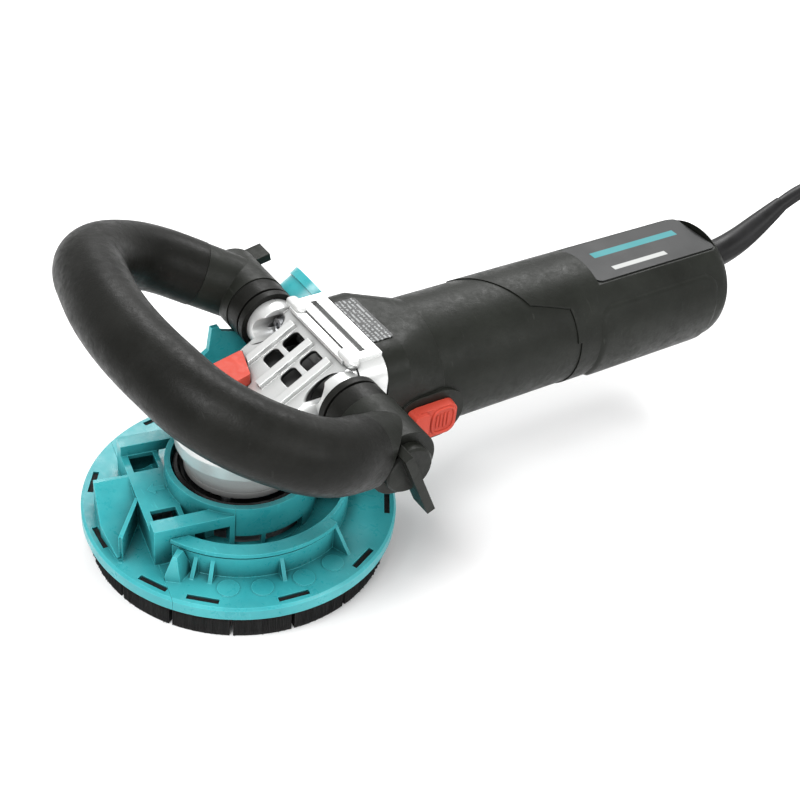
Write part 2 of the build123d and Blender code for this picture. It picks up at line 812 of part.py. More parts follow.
with BuildPart() as rear_grip:
    with BuildSketch(at_motor(130)):
        Circle(GRIP_R)
    extrude(amount=GRIP_REAR - 130)
    fillet(rear_grip.edges().group_by(Axis.X)[-1], 13)
    with BuildSketch(at_motor(129)):
        Circle(GRIP_R - WALL)
        with Locations((0, PAD_TOP - AXIS_H - WALL + 5)):
            Rectangle(80, 10, mode=Mode.SUBTRACT)
    extrude(amount=GRIP_REAR - WALL - 129 - 3, mode=Mode.SUBTRACT)
    # Flat pad on top for the name plate.
    with BuildSketch(at_motor(PAD_FRONT)):
        with Locations((0, PAD_TOP - AXIS_H + 5)):
            Rectangle(60, 10)
    extrude(amount=PAD_REAR - PAD_FRONT, mode=Mode.SUBTRACT)
    # Only the tongue stays forward of the parting line.
    with BuildSketch(at_motor(100)):
        Rectangle(90, 90)
    extrude(amount=BODY_REAR + GAP - 100, mode=Mode.SUBTRACT)
    add(tongue_skin())
    with BuildSketch(at_motor(GRIP_REAR - 12, 0, RELIEF_RISE)):
        Circle(10)
    extrude(amount=20, mode=Mode.SUBTRACT)
    # Air inlets low on both sides, and the two screws underneath.
    for sign in (1, -1):
        with BuildSketch(Plane(origin=(222, sign * 18, 35), x_dir=(1, 0, 0), z_dir=(0, 0, 1))):
            with GridLocations(7, 0, 7, 1):
                SlotOverall(12, 2.6, rotation=90)
        extrude(amount=18, mode=Mode.SUBTRACT)
    with BuildSketch(Plane.XY.offset(35)):
        with Locations((198, 0), (292, 0)):
            Circle(2.1)
    extrude(amount=12, mode=Mode.SUBTRACT)
rear_grip.part.label = "rear_grip"
export_step(rear_grip.part, "parts/rear_grip.step")

with BuildPart() as grip_screws:
    with BuildSketch(Plane.XY.offset(38.6)):
        with Locations((198, 0), (292, 0)):
            Circle(3.6)
    extrude(amount=0.75)
    with BuildSketch(Plane.XY.offset(39)):
        with Locations((198, 0), (292, 0)):
            Circle(2.0)
    extrude(amount=8)
grip_screws.part.label = "grip_screws"
export_step(grip_screws.part, "parts/grip_screws.step")

with BuildPart() as name_plate:
    with BuildSketch(Plane.XY.offset(PAD_TOP + FIT)):
        with Locations(((PAD_FRONT + PAD_REAR) / 2, 0)):
            RectangleRounded(PAD_REAR - PAD_FRONT - 2, 36, 4)
    extrude(amount=0.8)
name_plate.part.label = "name_plate"
export_step(name_plate.part, "parts/name_plate.step")

with BuildPart() as rating_label:
    with BuildSketch(Plane.XY.offset(113.5 + FIT)):
        with Locations((67.2, 0)):
            RectangleRounded(12.5, 38, 1.5)
    extrude(amount=0.6)
rating_label.part.label = "rating_label"
export_step(rating_label.part, "parts/rating_label.step")

# ------------------------------------------------------------------ motor innards
STATOR_R = 30.5

with BuildPart() as stator_core:
    with BuildSketch(at_motor(CORE_FRONT - 1)):
        Circle(STATOR_R)
        Circle(ARMATURE_R + 0.6, mode=Mode.SUBTRACT)
        with Locations((0, 24.5), (0, -24.5)):
            Rectangle(30, 4, mode=Mode.SUBTRACT)
    extrude(amount=CORE_REAR - CORE_FRONT + 2)
stator_core.part.label = "stator_core"
export_step(stator_core.part, "parts/stator_core.step")

with BuildPart() as field_coils:
    for start in (CORE_FRONT - 9, CORE_REAR + 1 + FIT):
        for middle_deg in (90, 270):
            strip = arc_strip(ARMATURE_R + 1.5, STATOR_R - 1, middle_deg - 65, 130, at_motor(start))
            extrude(strip, amount=8 - 2 * FIT)
field_coils.part.label = "field_coils"
export_step(field_coils.part, "parts/field_coils.step")

with BuildPart() as carbon_brushes:
    for sign in (1, -1):
        with BuildSketch(Plane(origin=(164, 0, AXIS_H + sign * (COMMUTATOR_R + 0.1)), z_dir=(0, 0, sign))):
            Rectangle(6, 6)
        extrude(amount=13)
carbon_brushes.part.label = "carbon_brushes"
export_step(carbon_brushes.part, "parts/carbon_brushes.step")

with BuildPart() as brush_holders:
    for sign in (1, -1):
        with BuildSketch(Plane(origin=(164, 0, AXIS_H + sign * 14), z_dir=(0, 0, sign))):
            Rectangle(10, 10)
            Rectangle(6.2, 6.2, mode=Mode.SUBTRACT)
        extrude(amount=BODY_R - WALL - 14 - 1)
brush_holders.part.label = "brush_holders"
export_step(brush_holders.part, "parts/brush_holders.step")

with BuildPart() as switch_module:
    with BuildSketch(Plane.XY.offset(58)):
        with Locations((216, -19)):
            RectangleRounded(34, 16, 2)
    extrude(amount=26)
switch_module.part.label = "switch_module"
export_step(switch_module.part, "parts/switch_module.step")

with BuildPart() as control_board:
    with BuildSketch(Plane.XY.offset(60)):
        with Locations((232, 8)):
            RectangleRounded(60, 28, 2)
    extrude(amount=12)
    with BuildSketch(Plane.XY.offset(71)):
        with Locations((220, 8)):
            Circle(8)
        with Locations((246, 8)):
            Rectangle(18, 20)
    extrude(amount=12)
control_board.part.label = "control_board"
export_step(control_board.part, "parts/control_board.step")

# ------------------------------------------------- slide switch on the left side
SWITCH_FACE = -38.0 - GAP
ROD_INNER = 30.6
ROD_DEPTH = 1.1

with BuildPart() as slide_switch:
    with BuildSketch(across(88, SWITCH_FACE, SWITCH_Z, -1)):
        RectangleRounded(29, 20, 6)
    extrude(amount=4.5, taper=8)
    with BuildSketch(across(79, SWITCH_FACE, SWITCH_Z, -1)):
        RectangleRounded(11, 19, 3)
    extrude(amount=6.5, taper=10)
    with BuildSketch(across(88, -ROD_INNER - ROD_DEPTH - FIT, SWITCH_Z, -1)):
        Rectangle(10, 8)
    extrude(amount=8)
slide_switch.part.label = "slide_switch"
export_step(slide_switch.part, "parts/slide_switch.step")

with BuildPart() as switch_rod:
    with BuildSketch(across(143.5, -ROD_INNER, SWITCH_Z, -1)):
        Rectangle(121, 5)
    extrude(amount=ROD_DEPTH)
switch_rod.part.label = "switch_rod"
export_step(switch_rod.part, "parts/switch_rod.step")

# -------------------------------------------------------------- spindle lock button
with BuildPart() as lock_button:
    with BuildSketch(Plane.XY.offset(BUTTON_LOW)):
        with BuildLine():
            Polyline(*button_corners, close=True)
        make_face()
        fillet(vertices(), 1.5)
    extrude(amount=BUTTON_TOP - BUTTON_LOW, taper=4)
lock_button.part.label = "lock_button"
export_step(lock_button.part, "parts/lock_button.step")

with BuildPart() as lock_pin:
    with BuildSketch(Plane.XY.offset(68.3)):
        with Locations((0, LOCK_R)):
            Circle(LOCK_PIN_R)
    extrude(amount=BUTTON_LOW - 68.3 - FIT)
lock_pin.part.label = "lock_pin"
export_step(lock_pin.part, "parts/lock_pin.step")

with BuildPart() as lock_spring:
    with BuildSketch(Plane.XY.offset(77 + FIT)):
        with Locations((0, LOCK_R)):
            Circle(4.2)
            Circle(3.0, mode=Mode.SUBTRACT)
    extrude(amount=BUTTON_LOW - 77 - 2 * FIT)
lock_spring.part.label = "lock_spring"
export_step(lock_spring.part, "parts/lock_spring.step")

# ------------------------------------------------------------------- bail handle
handle_plane = Plane(
    origin=(HINGE_X, 0, HINGE_Z),
    x_dir=(-cos(radians(HANDLE_SLOPE)), 0, sin(radians(HANDLE_SLOPE))),
    z_dir=(-sin(radians(HANDLE_SLOPE)), 0, -cos(radians(HANDLE_SLOPE))),
)
limb_start = (0, 73)
limb_bend = (52, 92)
bar_bend = (98, 74)
bar_middle = (114, 0)
GRIP_START = 24.0


def handle_path(first):
    """The bowed line of the handle, from one limb round the front bar to the other."""
    side = [first, limb_bend, bar_bend]
    other = [(x, -y) for x, y in reversed(side)]
    with BuildLine(handle_plane) as path:
        FilletPolyline(*side, bar_middle, *other, radius=[45, 52, 150, 52, 45])
    return path.wires()[0]


def along_limb(distance):
    """The point of the limb's first straight at a distance in front of the hinge."""
    return (distance, limb_start[1] + distance * (limb_bend[1] - limb_start[1]) / limb_bend[0])


def tube(path, outer, inner=0.0):
    """A round tube or rod along a path."""
    with BuildPart() as swept:
        with BuildSketch(Plane(origin=path @ 0, z_dir=path % 0)):
            Circle(outer)
            if inner:
                Circle(inner, mode=Mode.SUBTRACT)
        sweep(path=path)
    return swept.part


def limb_collar(sign):
    """The thick straight end of one limb, in front of its hub."""
    start = handle_plane.from_local_coords(Vector(limb_start[0], sign * limb_start[1], 0))
    end_point = along_limb(GRIP_START)
    end = handle_plane.from_local_coords(Vector(end_point[0], sign * end_point[1], 0))
    direction = end - start
    with BuildPart() as collar:
        with BuildSketch(Plane(origin=start, z_dir=direction)):
            Circle(TUBE_R - 0.3)
        extrude(amount=direction.length)
    return collar.part


full_path = handle_path(limb_start)
grip_path = handle_path(along_limb(GRIP_START + 0.3))

with BuildPart() as bail_handle:
    add(tube(full_path, CORE_R))
    for sign in (1, -1):
        add(limb_collar(sign))
        with BuildSketch(across(HINGE_X, sign * HUB_INNER, HINGE_Z, sign)):
            Circle(TUBE_R)
        extrude(amount=HUB_OUTER - HUB_INNER)
        with BuildSketch(across(HINGE_X, sign * (HUB_INNER - 12), HINGE_Z, sign)):
            Circle(TUBE_R + 8)
        extrude(amount=12, mode=Mode.SUBTRACT)
        with BuildSketch(across(HINGE_X, sign * HUB_OUTER, HINGE_Z, sign)):
            Circle(TUBE_R)
        extrude(amount=20, mode=Mode.SUBTRACT)
        with BuildSketch(across(HINGE_X, sign * (HUB_INNER - 1), HINGE_Z, sign)):
            Circle(BOLT_R + 0.05)
        extrude(amount=HUB_OUTER - HUB_INNER + 10, mode=Mode.SUBTRACT)
bail_handle.part.label = "bail_handle"
export_step(bail_handle.part, "parts/bail_handle.step")

with BuildPart() as bail_grip:
    add(tube(grip_path, TUBE_R, CORE_R + FIT))
bail_grip.part.label = "bail_grip"
export_step(bail_grip.part, "parts/bail_grip.step")

KNOB_R = 12.5
KNOB_DEPTH = 6.0
BLADE_TIP = 27.0
BLADE_TAIL = 15.0
BLADE_DEPTH = 12.0
BLADE_ANGLE = {"left": -66.0, "right": 12.0}

for side, sign in (("left", -1), ("right", 1)):
    face_plane = across(HINGE_X, sign * (HUB_OUTER + GAP), HINGE_Z, sign)
    turn = BLADE_ANGLE[side] * -sign
    with BuildPart() as knob:
        with BuildSketch(face_plane):
            Circle(KNOB_R)
        extrude(amount=KNOB_DEPTH)
        with BuildSketch(face_plane):
            with Locations(Location((0, 0, 0), (0, 0, turn))):
                with Locations(((BLADE_TIP - BLADE_TAIL) / 2, 0)):
                    Rectangle(BLADE_TIP + BLADE_TAIL, 4.5)
        extrude(amount=BLADE_DEPTH)
        chamfer(knob.edges().filter_by(GeomType.CIRCLE).group_by(Axis.Y)[-1 if sign > 0 else 0], 1.0)
        with BuildSketch(face_plane):
            Circle(BOLT_R + FIT)
        extrude(amount=3.5, mode=Mode.SUBTRACT)
    knob.part.label = f"knob_{side}"
    export_step(knob.part, f"parts/knob_{side}.step")

    with BuildPart() as bolt:
        with BuildSketch(across(HINGE_X, sign * BOLT_INNER, HINGE_Z, sign)):
            Circle(BOLT_R)
        extrude(amount=HUB_OUTER + GAP + 3.4 - BOLT_INNER)
    bolt.part.label = f"knob_bolt_{side}"
    export_step(bolt.part, f"parts/knob_bolt_{side}.step")

# ------------------------------------------------------------------------ dust hood
WALL_R = 58.0
WALL_TOP = 38.0
LIP_R = 54.0
SLOT_R = 77.0
SPLIT_X = -54.0
SPLIT_Y = 37.5
SPLIT_REAR = -15.0
PLATE_R = 36.1
SLEEVE_R = NECK_R + 0.05

hood_slots = [-121.5, -88.5, -55.5, -22.5, 10.5, 43.5, 76.5, 109.5]
segment_slots = [156.0, 187.5, 219.0]


def polar(radius, angle_deg):
    return (radius * cos(radians(angle_deg)), radius * sin(radians(angle_deg)))


def split_zone(inset):
    """The space of the removable front segment, over the whole height."""
    with BuildPart() as zone:
        with BuildSketch(hood_plane.offset(-1)):
            with BuildLine():
                Polyline(
                    (SPLIT_X, -100),
                    (SPLIT_X, -SPLIT_Y),
                    (SPLIT_REAR, -SPLIT_Y),
                    (SPLIT_REAR, SPLIT_Y),
                    (SPLIT_X, SPLIT_Y),
                    (SPLIT_X, 100),
                    (-110, 100),
                    (-110, -100),
                    close=True,
                )
            make_face()
            offset(amount=inset, kind=Kind.INTERSECTION)
            Circle(PLATE_R + 0.4 if inset < 0 else PLATE_R, mode=Mode.SUBTRACT)
        extrude(amount=70)
    return zone.part


def ring_shell():
    """Deck, rim, brush channel and collar, turned about the spindle axis."""
    with BuildPart() as shell:
        revolve(
            outline(
                [
                    (COLLAR_R - COLLAR_WALL, DECK_LOW),
                    (COLLAR_R - COLLAR_WALL, COLLAR_TOP),
                    (COLLAR_R, COLLAR_TOP),
                    (COLLAR_R, DECK_TOP),
                    (HOOD_R - 1.2, DECK_TOP),
                    (HOOD_R, DECK_TOP - 1.2),
                    (HOOD_R, RIM_LOW),
                    (HOOD_R - 3, RIM_LOW),
                    (HOOD_R - 3, DECK_LOW),
                    (71.5, DECK_LOW),
                    (71.5, 16.5),
                    (70.3, 16.5),
                    (70.3, DECK_LOW),
                ]
            ),
            axis=Axis.Z,
        )
    return shell.part


def gusset(angle_deg, inner, outer, low, high, thickness):
    """A triangular rib, standing radially on the deck."""
    direction = hood_plane.rotated((0, 0, angle_deg))
    with BuildPart() as rib:
        with BuildSketch(Plane(origin=(0, 0, 0), x_dir=direction.x_dir, z_dir=-direction.y_dir)):
            with BuildLine():
                Polyline((inner, low), (outer, low), (inner, high), close=True)
            make_face()
        extrude(amount=thickness / 2, both=True)
    return rib.part


def arc_wall(inner, outer, start_deg, sweep_deg, low, high):
    """An upright wall along an arc of the hood."""
    with BuildPart() as wall:
        strip = arc_strip(inner, outer, start_deg, sweep_deg, hood_plane.offset(low))
        extrude(strip, amount=high - low)
    return wall.part


WALL_START = -142.0
WALL_SWEEP = 85.0
DUCT_BASE = (31.0, 53.0)

with BuildPart() as dust_hood:
    add(ring_shell())
    revolve(
        outline(
            [
                (SLEEVE_R, 27),
                (23.5, 27),
                (23.5, 36.3),
                (COLLAR_R - 1, 36.3),
                (COLLAR_R - 1, 39.3),
                (SLEEVE_R, 39.3),
            ]
        ),
        axis=Axis.Z,
    )
    add(arc_wall(WALL_R, WALL_R + 2.5, WALL_START, WALL_SWEEP, DECK_LOW + 1, WALL_TOP))
    add(arc_wall(LIP_R, WALL_R + 3.2, WALL_START, WALL_SWEEP, WALL_TOP - 2, WALL_TOP + 0.4))
    shadow_line = arc_wall(
        WALL_R + 1.7, WALL_R + 4, WALL_START - 2, WALL_SWEEP + 4, WALL_TOP - 3.4, WALL_TOP - 2
    )
    add(shadow_line, mode=Mode.SUBTRACT)
    add(arc_wall(LIP_R, LIP_R + 2.2, -57, 42, DECK_LOW + 1, WALL_TOP + 0.4))
    add(arc_wall(LIP_R, WALL_R + 2.5, -58.5, 2, DECK_LOW + 1, WALL_TOP + 0.4))
    for angle_deg in (-129, -121, -89):
        add(gusset(angle_deg, WALL_R + 2, 67.5, DECK_LOW + 1, 33, 2))
    add(gusset(-57.5, WALL_R + 2, 71.5, DECK_LOW + 1, WALL_TOP + 0.4, 2))
    add(gusset(-12, COLLAR_R - 1, 66, DECK_LOW + 1, 40, 2.4))
    # Wedge foot beside the front segment.
    with BuildSketch(hood_plane.offset(DECK_LOW + 1)):
        with BuildLine():
            Polyline(
                polar(59, -141.5), polar(74, -139), polar(71, -132), polar(59, -130.5), close=True
            )
        make_face()
    extrude(amount=15, taper=14)
    add(split_zone(0), mode=Mode.SUBTRACT)
    # Windows through the foot of the collar.
    for start_deg, span_deg in ((-123, 30), (-90, 34)):
        window = arc_wall(COLLAR_R - COLLAR_WALL - 1, COLLAR_R + 1, start_deg, span_deg, DECK_TOP + 0.6, 30)
        add(window, mode=Mode.SUBTRACT)
    # Flush round bosses along the deck.
    with BuildSketch(hood_plane.offset(DECK_LOW + 1)):
        for angle_deg in (-113, -99, -81, -66):
            with Locations(polar(68.2, angle_deg)):
                Circle(5.5)
    extrude(amount=DECK_TOP - DECK_LOW - 1 + 0.5)
    # Slots for the tabs of the brush strip.
    with BuildSketch(hood_plane.offset(DECK_LOW - 1)):
        for angle_deg in hood_slots:
            with Locations(Location((*polar(SLOT_R, angle_deg), 0), (0, 0, angle_deg))):
                Rectangle(3, 16)
    extrude(amount=8, mode=Mode.SUBTRACT)
    # Way up into the extraction duct.
    with BuildSketch(Plane.XY.offset(DECK_LOW - 1)):
        with Locations(DUCT_BASE):
            RectangleRounded(32, 20, 5)
    extrude(amount=8, mode=Mode.SUBTRACT)
dust_hood.part.label = "dust_hood"
export_step(dust_hood.part, "parts/dust_hood.step")

BEAM_INNER = 29.0
BEAM_OUTER = SPLIT_Y - GAP
BEAM_TOP = 44.5
PLATEAU = 38.0


def grip_wedge():
    """The sloped finger plate on the front of the segment, bounded by the fin."""
    with BuildPart() as wedge:
        with BuildSketch(hood_plane.offset(DECK_LOW + 1)):
            with BuildLine():
                Polyline(
                    (-54.6, 14.5), (-73.5, 15.5), (-76, -10), (-72, -30), (-56.5, -3), close=True
                )
            make_face()
        extrude(amount=30)
        side = Plane(origin=(0, 0, 0), x_dir=hood_plane.y_dir, z_dir=hood_plane.x_dir)
        with BuildSketch(side):
            with BuildLine():
                Polyline((-32, 20), (16, 20), (16, PLATEAU), (13, PLATEAU), (-32, 23), close=True)
            make_face()
        extrude(amount=90, both=True, mode=Mode.INTERSECT)
    return wedge.part


with BuildPart() as front_segment:
    add(ring_shell())
    add(split_zone(-GAP / 2), mode=Mode.INTERSECT)
    for sign in (1, -1):
        with BuildSketch(hood_plane.offset(DECK_LOW + 0.5)):
            with Locations(((SPLIT_X - 2 + SPLIT_REAR - 0.5) / 2, sign * (BEAM_INNER + BEAM_OUTER) / 2)):
                Rectangle(SPLIT_REAR - SPLIT_X + 1.5, BEAM_OUTER - BEAM_INNER)
        extrude(amount=BEAM_TOP - DECK_LOW - 0.5)
    with BuildSketch(hood_plane.offset(DECK_LOW + 0.5)):
        with Locations((-46.5, 0)):
            Rectangle(19, 2 * BEAM_OUTER)
    extrude(amount=PLATEAU - DECK_LOW - 0.5)
    with BuildSketch(hood_plane.offset(DECK_LOW - 1)):
        with Locations((-45.5, 0)):
            Rectangle(16, 2 * BEAM_OUTER - 6)
    extrude(amount=PLATEAU - 2.4 - DECK_LOW + 1, mode=Mode.SUBTRACT)
    with BuildSketch(hood_plane.offset(PLATEAU - 5)):
        for sign in (1, -1):
            with Locations((-46, sign * 22)):
                Rectangle(13, 13.5)
    extrude(amount=8, mode=Mode.SUBTRACT)
    # The collar stays open inside for the ring round the neck.
    with BuildSketch(hood_plane.offset(DECK_LOW - 1)):
        Circle(COLLAR_R - COLLAR_WALL)
    extrude(amount=40, mode=Mode.SUBTRACT)
    # Window under each side beam.
    with BuildSketch(hood_plane.offset(DECK_TOP + 2.5)):
        for sign in (1, -1):
            with Locations((-27, sign * (BEAM_INNER + BEAM_OUTER) / 2)):
                Rectangle(18, BEAM_OUTER - BEAM_INNER + 2)
    extrude(amount=13, mode=Mode.SUBTRACT)
    add(grip_wedge())
    # Upright fin beside the finger plate.
    with BuildSketch(hood_plane.offset(DECK_LOW + 1)):
        with BuildLine():
            Polyline((-55.5, -4.5), (-56.5, -2.5), (-72.5, -30), (-70.5, -31), close=True)
        make_face()
    extrude(amount=PLATEAU - DECK_LOW - 1.5)
    with BuildSketch(hood_plane.offset(DECK_TOP + 0.2)):
        with Locations((-74, -33)):
            Rectangle(8, 10)
    extrude(amount=20, mode=Mode.SUBTRACT)
    # Raised arrow between the windows.
    with BuildSketch(hood_plane.offset(PLATEAU - 0.5)):
        with BuildLine():
            Polyline(
                (-50, 0), (-46, 4), (-46, 1.5), (-41, 1.5), (-41, -1.5), (-46, -1.5), (-46, -4),
                close=True,
            )
        make_face()
    extrude(amount=1.0)
    with BuildSketch(hood_plane.offset(DECK_LOW - 1)):
        for angle_deg in segment_slots:
            with Locations(Location((*polar(SLOT_R, angle_deg), 0), (0, 0, angle_deg))):
                Rectangle(3, 16)
    extrude(amount=DECK_TOP - DECK_LOW + 1.1, mode=Mode.SUBTRACT)
front_segment.part.label = "front_segment"
export_step(front_segment.part, "parts/front_segment.step")

with BuildPart() as latch_springs:
    for sign in (1, -1):
        middle = hood_plane.from_local_coords(Vector(-46, sign * 22, 29))
        with BuildSketch(Plane(origin=middle, x_dir=hood_plane.x_dir, z_dir=-hood_plane.y_dir)):
            with BuildLine():
                upper = RadiusArc((-6.2, 1.5), (6.2, 1.5), -9)
                lower = RadiusArc((-5.2, 1.5), (5.2, 1.5), -8)
                Line(upper @ 0, lower @ 0)
                Line(upper @ 1, lower @ 1)
            make_face()
        extrude(amount=5.5, both=True)
    for sign in (1, -1):
        middle = hood_plane.from_local_coords(Vector(-46, sign * 22, 29))
        with BuildSketch(Plane(origin=middle, x_dir=hood_plane.x_dir, z_dir=-hood_plane.y_dir)):
            with Locations((-6.4, 0), (6.4, 0)):
                Rectangle(1.9, 3)
        extrude(amount=5.5, both=True)
latch_springs.part.label = "latch_springs"
export_step(latch_springs.part, "parts/latch_springs.step")

# ------------------------------------------------------------- brush round the rim
BRUSH_INNER = 71.9
BRUSH_OUTER = 78.4
BRISTLE_TOP = 15.4
BLOCK_COUNT = 16
BLOCK_GAP_DEG = 1.3
FIRST_GAP_DEG = -133.5


def brush_ring(slot_angles):
    """Bristle blocks on a common backing strip, with tabs up into the rim's slots."""
    pitch = 360 / BLOCK_COUNT
    with BuildPart() as brush:
        with BuildSketch(hood_plane.offset(BRISTLE_TOP)):
            Circle(BRUSH_OUTER)
            Circle(BRUSH_INNER, mode=Mode.SUBTRACT)
        extrude(amount=DECK_LOW - BRISTLE_TOP - FIT)
        for index in range(BLOCK_COUNT):
            start = FIRST_GAP_DEG + index * pitch + BLOCK_GAP_DEG / 2
            strip = arc_strip(
                BRUSH_INNER + 0.4, BRUSH_OUTER - 0.4, start, pitch - BLOCK_GAP_DEG, hood_plane
            )
            extrude(strip, amount=BRISTLE_TOP + 0.5)
        with BuildSketch(hood_plane.offset(DECK_LOW - 1)):
            for angle_deg in slot_angles:
                with Locations(Location((*polar(SLOT_R, angle_deg), 0), (0, 0, angle_deg))):
                    Rectangle(2.6, 15)
        extrude(amount=2.6)
    return brush.part


with BuildPart() as hood_brush:
    add(brush_ring(hood_slots))
    add(split_zone(GAP / 2), mode=Mode.SUBTRACT)
hood_brush.part.label = "hood_brush"
export_step(hood_brush.part, "parts/hood_brush.step")

with BuildPart() as segment_brush:
    add(brush_ring(segment_slots))
    add(split_zone(-GAP / 2), mode=Mode.INTERSECT)
segment_brush.part.label = "segment_brush"
export_step(segment_brush.part, "parts/segment_brush.step")

# ---------------------------------------------------- extraction duct on the right
PORT_R = 19.5
DUCT_WALL = 2.0
PORT_TILT = 35.0
PORT_END = Vector(86.1, 70, 81.8)
PORT_LENGTH = 30.0
DUCT_WAIST_Z = 42.0
port_axis = Vector(cos(radians(PORT_TILT)), 0, sin(radians(PORT_TILT)))
port_start = PORT_END - port_axis * PORT_LENGTH


def duct_body(shrink):
    """The duct as one solid, from its foot on the deck to the round port."""
    with BuildSketch(Plane.XY.offset(DECK_TOP + FIT)) as foot:
        with Locations(DUCT_BASE):
            RectangleRounded(38 - 2 * shrink, 26 - 2 * shrink, 8 - shrink)
    with BuildSketch(Plane.XY.offset(DUCT_WAIST_Z)) as waist:
        with Locations((36, 61)):
            RectangleRounded(40 - 2 * shrink, 34 - 2 * shrink, 13 - shrink)
    with BuildSketch(Plane(origin=port_start, x_dir=(0, 1, 0), z_dir=port_axis)) as mouth:
        Circle(PORT_R - shrink)
    with BuildPart() as duct:
        loft([foot.sketch, waist.sketch, mouth.sketch], ruled=True)
        extrude(mouth.sketch, amount=PORT_LENGTH)
    return duct.part


with BuildPart() as dust_port:
    add(duct_body(0))
    with BuildSketch(Plane(origin=PORT_END, x_dir=(0, 1, 0), z_dir=port_axis)):
        Circle(PORT_R + 1)
        Circle(PORT_R - 1, mode=Mode.SUBTRACT)
    extrude(amount=-5)
    # Upright fin in front of the duct.
    with BuildSketch(across(0, 66, 0, -1)):
        with BuildLine():
            Polyline(
                (24, 36),
                (44, 40),
                (46, 66),
                (34, 77),
                (26, 78.5),
                (20, 80.5),
                (18.5, 84),
                (14.2, 84),
                (12.5, 70),
                (5, 64.5),
                (4, 57),
                close=True,
            )
        make_face()
    extrude(amount=3)
    add(duct_body(DUCT_WALL), mode=Mode.SUBTRACT)
dust_port.part.label = "dust_port"
export_step(dust_port.part, "parts/dust_port.step")

with BuildPart() as hood_clamp:
    with BuildSketch(Plane.XY.offset(28)):
        Circle(25)
        Circle(23.5 + FIT, mode=Mode.SUBTRACT)
        with Locations((27, 0)):
            Rectangle(8, 9)
        with Locations((27, 0)):
            Rectangle(12, 3, mode=Mode.SUBTRACT)
        Circle(23.5 + FIT, mode=Mode.SUBTRACT)
    extrude(amount=7)
    with BuildSketch(across(28, -6, 31.5, 1)):
        Circle(2.05)
    extrude(amount=14, mode=Mode.SUBTRACT)
hood_clamp.part.label = "hood_clamp"
export_step(hood_clamp.part, "parts/hood_clamp.step")

with BuildPart() as hood_clamp_screw:
    with BuildSketch(across(28, -4.6, 31.5, 1)):
        Circle(2.0)
    extrude(amount=12)
    with BuildSketch(across(28, -4.52, 31.5, -1)):
        Circle(2.9)
    extrude(amount=2.5)
hood_clamp_screw.part.label = "hood_clamp_screw"
export_step(hood_clamp_screw.part, "parts/hood_clamp_screw.step")

# --------------------------------------------------------------------- mains lead
RELIEF_START = Vector(303.0, 0, 84.5)
RELIEF_BEND = Vector(340.0, 0, 88)
RELIEF_END = Vector(364.0, 0, 102.5)
RELIEF_R = (9.0, 8.4, 6.6)


def cone_between(start, end, start_r, end_r):
    """A tapered round piece between two points."""
    direction = end - start
    with BuildPart() as cone:
        with BuildSketch(Plane(origin=start, z_dir=direction)):
            Circle(start_r)
        with BuildSketch(Plane(origin=end, z_dir=direction)):
            Circle(end_r)
        loft()
    return cone.part


with BuildPart() as strain_relief:
    add(cone_between(RELIEF_START, RELIEF_BEND, RELIEF_R[0], RELIEF_R[1]))
    with Locations(RELIEF_BEND):
        Sphere(RELIEF_R[1])
    add(cone_between(RELIEF_BEND, RELIEF_END, RELIEF_R[1], RELIEF_R[2]))
strain_relief.part.label = "strain_relief"
export_step(strain_relief.part, "parts/strain_relief.step")

with BuildPart() as cable_clamp:
    with BuildSketch(Plane.XY.offset(AXIS_H - 4)):
        with Locations((294, 0)):
            RectangleRounded(14, 30, 3)
    extrude(amount=24)
    with BuildSketch(at_motor(280, 0, RELIEF_RISE - 1)):
        Circle(CORD_R)
    extrude(amount=40, mode=Mode.SUBTRACT)
cable_clamp.part.label = "cable_clamp"
export_step(cable_clamp.part, "parts/cable_clamp.step")

# The lead rises from its sleeve, arches over and drops to the floor behind.
cord_route = [
    (364, 0, 102.5),
    (381, 0, 112.8),
    (403, 1, 117),
    (427, 3, 111),
    (449, 4, 93),
    (468, 5, 70),
    (487, 5.5, 49),
    (508, 6, 36),
    (532, 6, 31.5),
]
route_points = [Vector(*point) for point in cord_route]


def route_radii(points):
    """The largest tangent arc that each corner's two runs allow."""
    radii = []
    for before, corner, after in zip(points, points[1:], points[2:]):
        shorter = min((corner - before).length, (after - corner).length)
        half_turn = radians((corner - before).get_angle(after - corner)) / 2
        radii.append(0.45 * shorter / tan(half_turn))
    return radii


radii = route_radii(route_points)
print("cord radii", [round(radius, 1) for radius in radii])

with BuildPart() as cord_tube:
    with BuildLine() as cord_line:
        FilletPolyline(*route_points, radius=radii)
    with BuildSketch(Plane(origin=cord_line.line @ 0, z_dir=cord_line.line % 0)):
        Circle(CORD_R)
    sweep()
cord_tube.part.label = "cord_tube"
export_step(cord_tube.part, "parts/cord_tube.step")
lead_run = cord_line.wires()[0].length
print("cord tube volume", cord_tube.part.volume, "section by length", pi * CORD_R**2 * lead_run)

# The rest of the lead lies in one neat coil on the floor.
# The lead comes in on the top layer, a quarter of a row outside its middle.
COIL_CENTRE = (532.0, 6.0 - COIL_R - CORD_R / 2)
LEAD_TAIL = 22.0
# Every turn is counted at the coil's middle radius, so the printed length runs a little over.
wound = COIL_TURNS * 2 * pi * COIL_R
print("lead length", lead_run + wound + LEAD_TAIL, "of", CORD_LENGTH)

with BuildPart() as cord_coil:
    with BuildSketch(across(*COIL_CENTRE, 0, -1)):
        with Locations((COIL_R, COIL_LAYERS * CORD_R)):
            RectangleRounded(2 * COIL_ROWS * CORD_R, 2 * COIL_LAYERS * CORD_R, CORD_R)
    revolve(axis=Axis((*COIL_CENTRE, 0), (0, 0, 1)))
cord_coil.part.label = "cord_coil"
export_step(cord_coil.part, "parts/cord_coil.step")

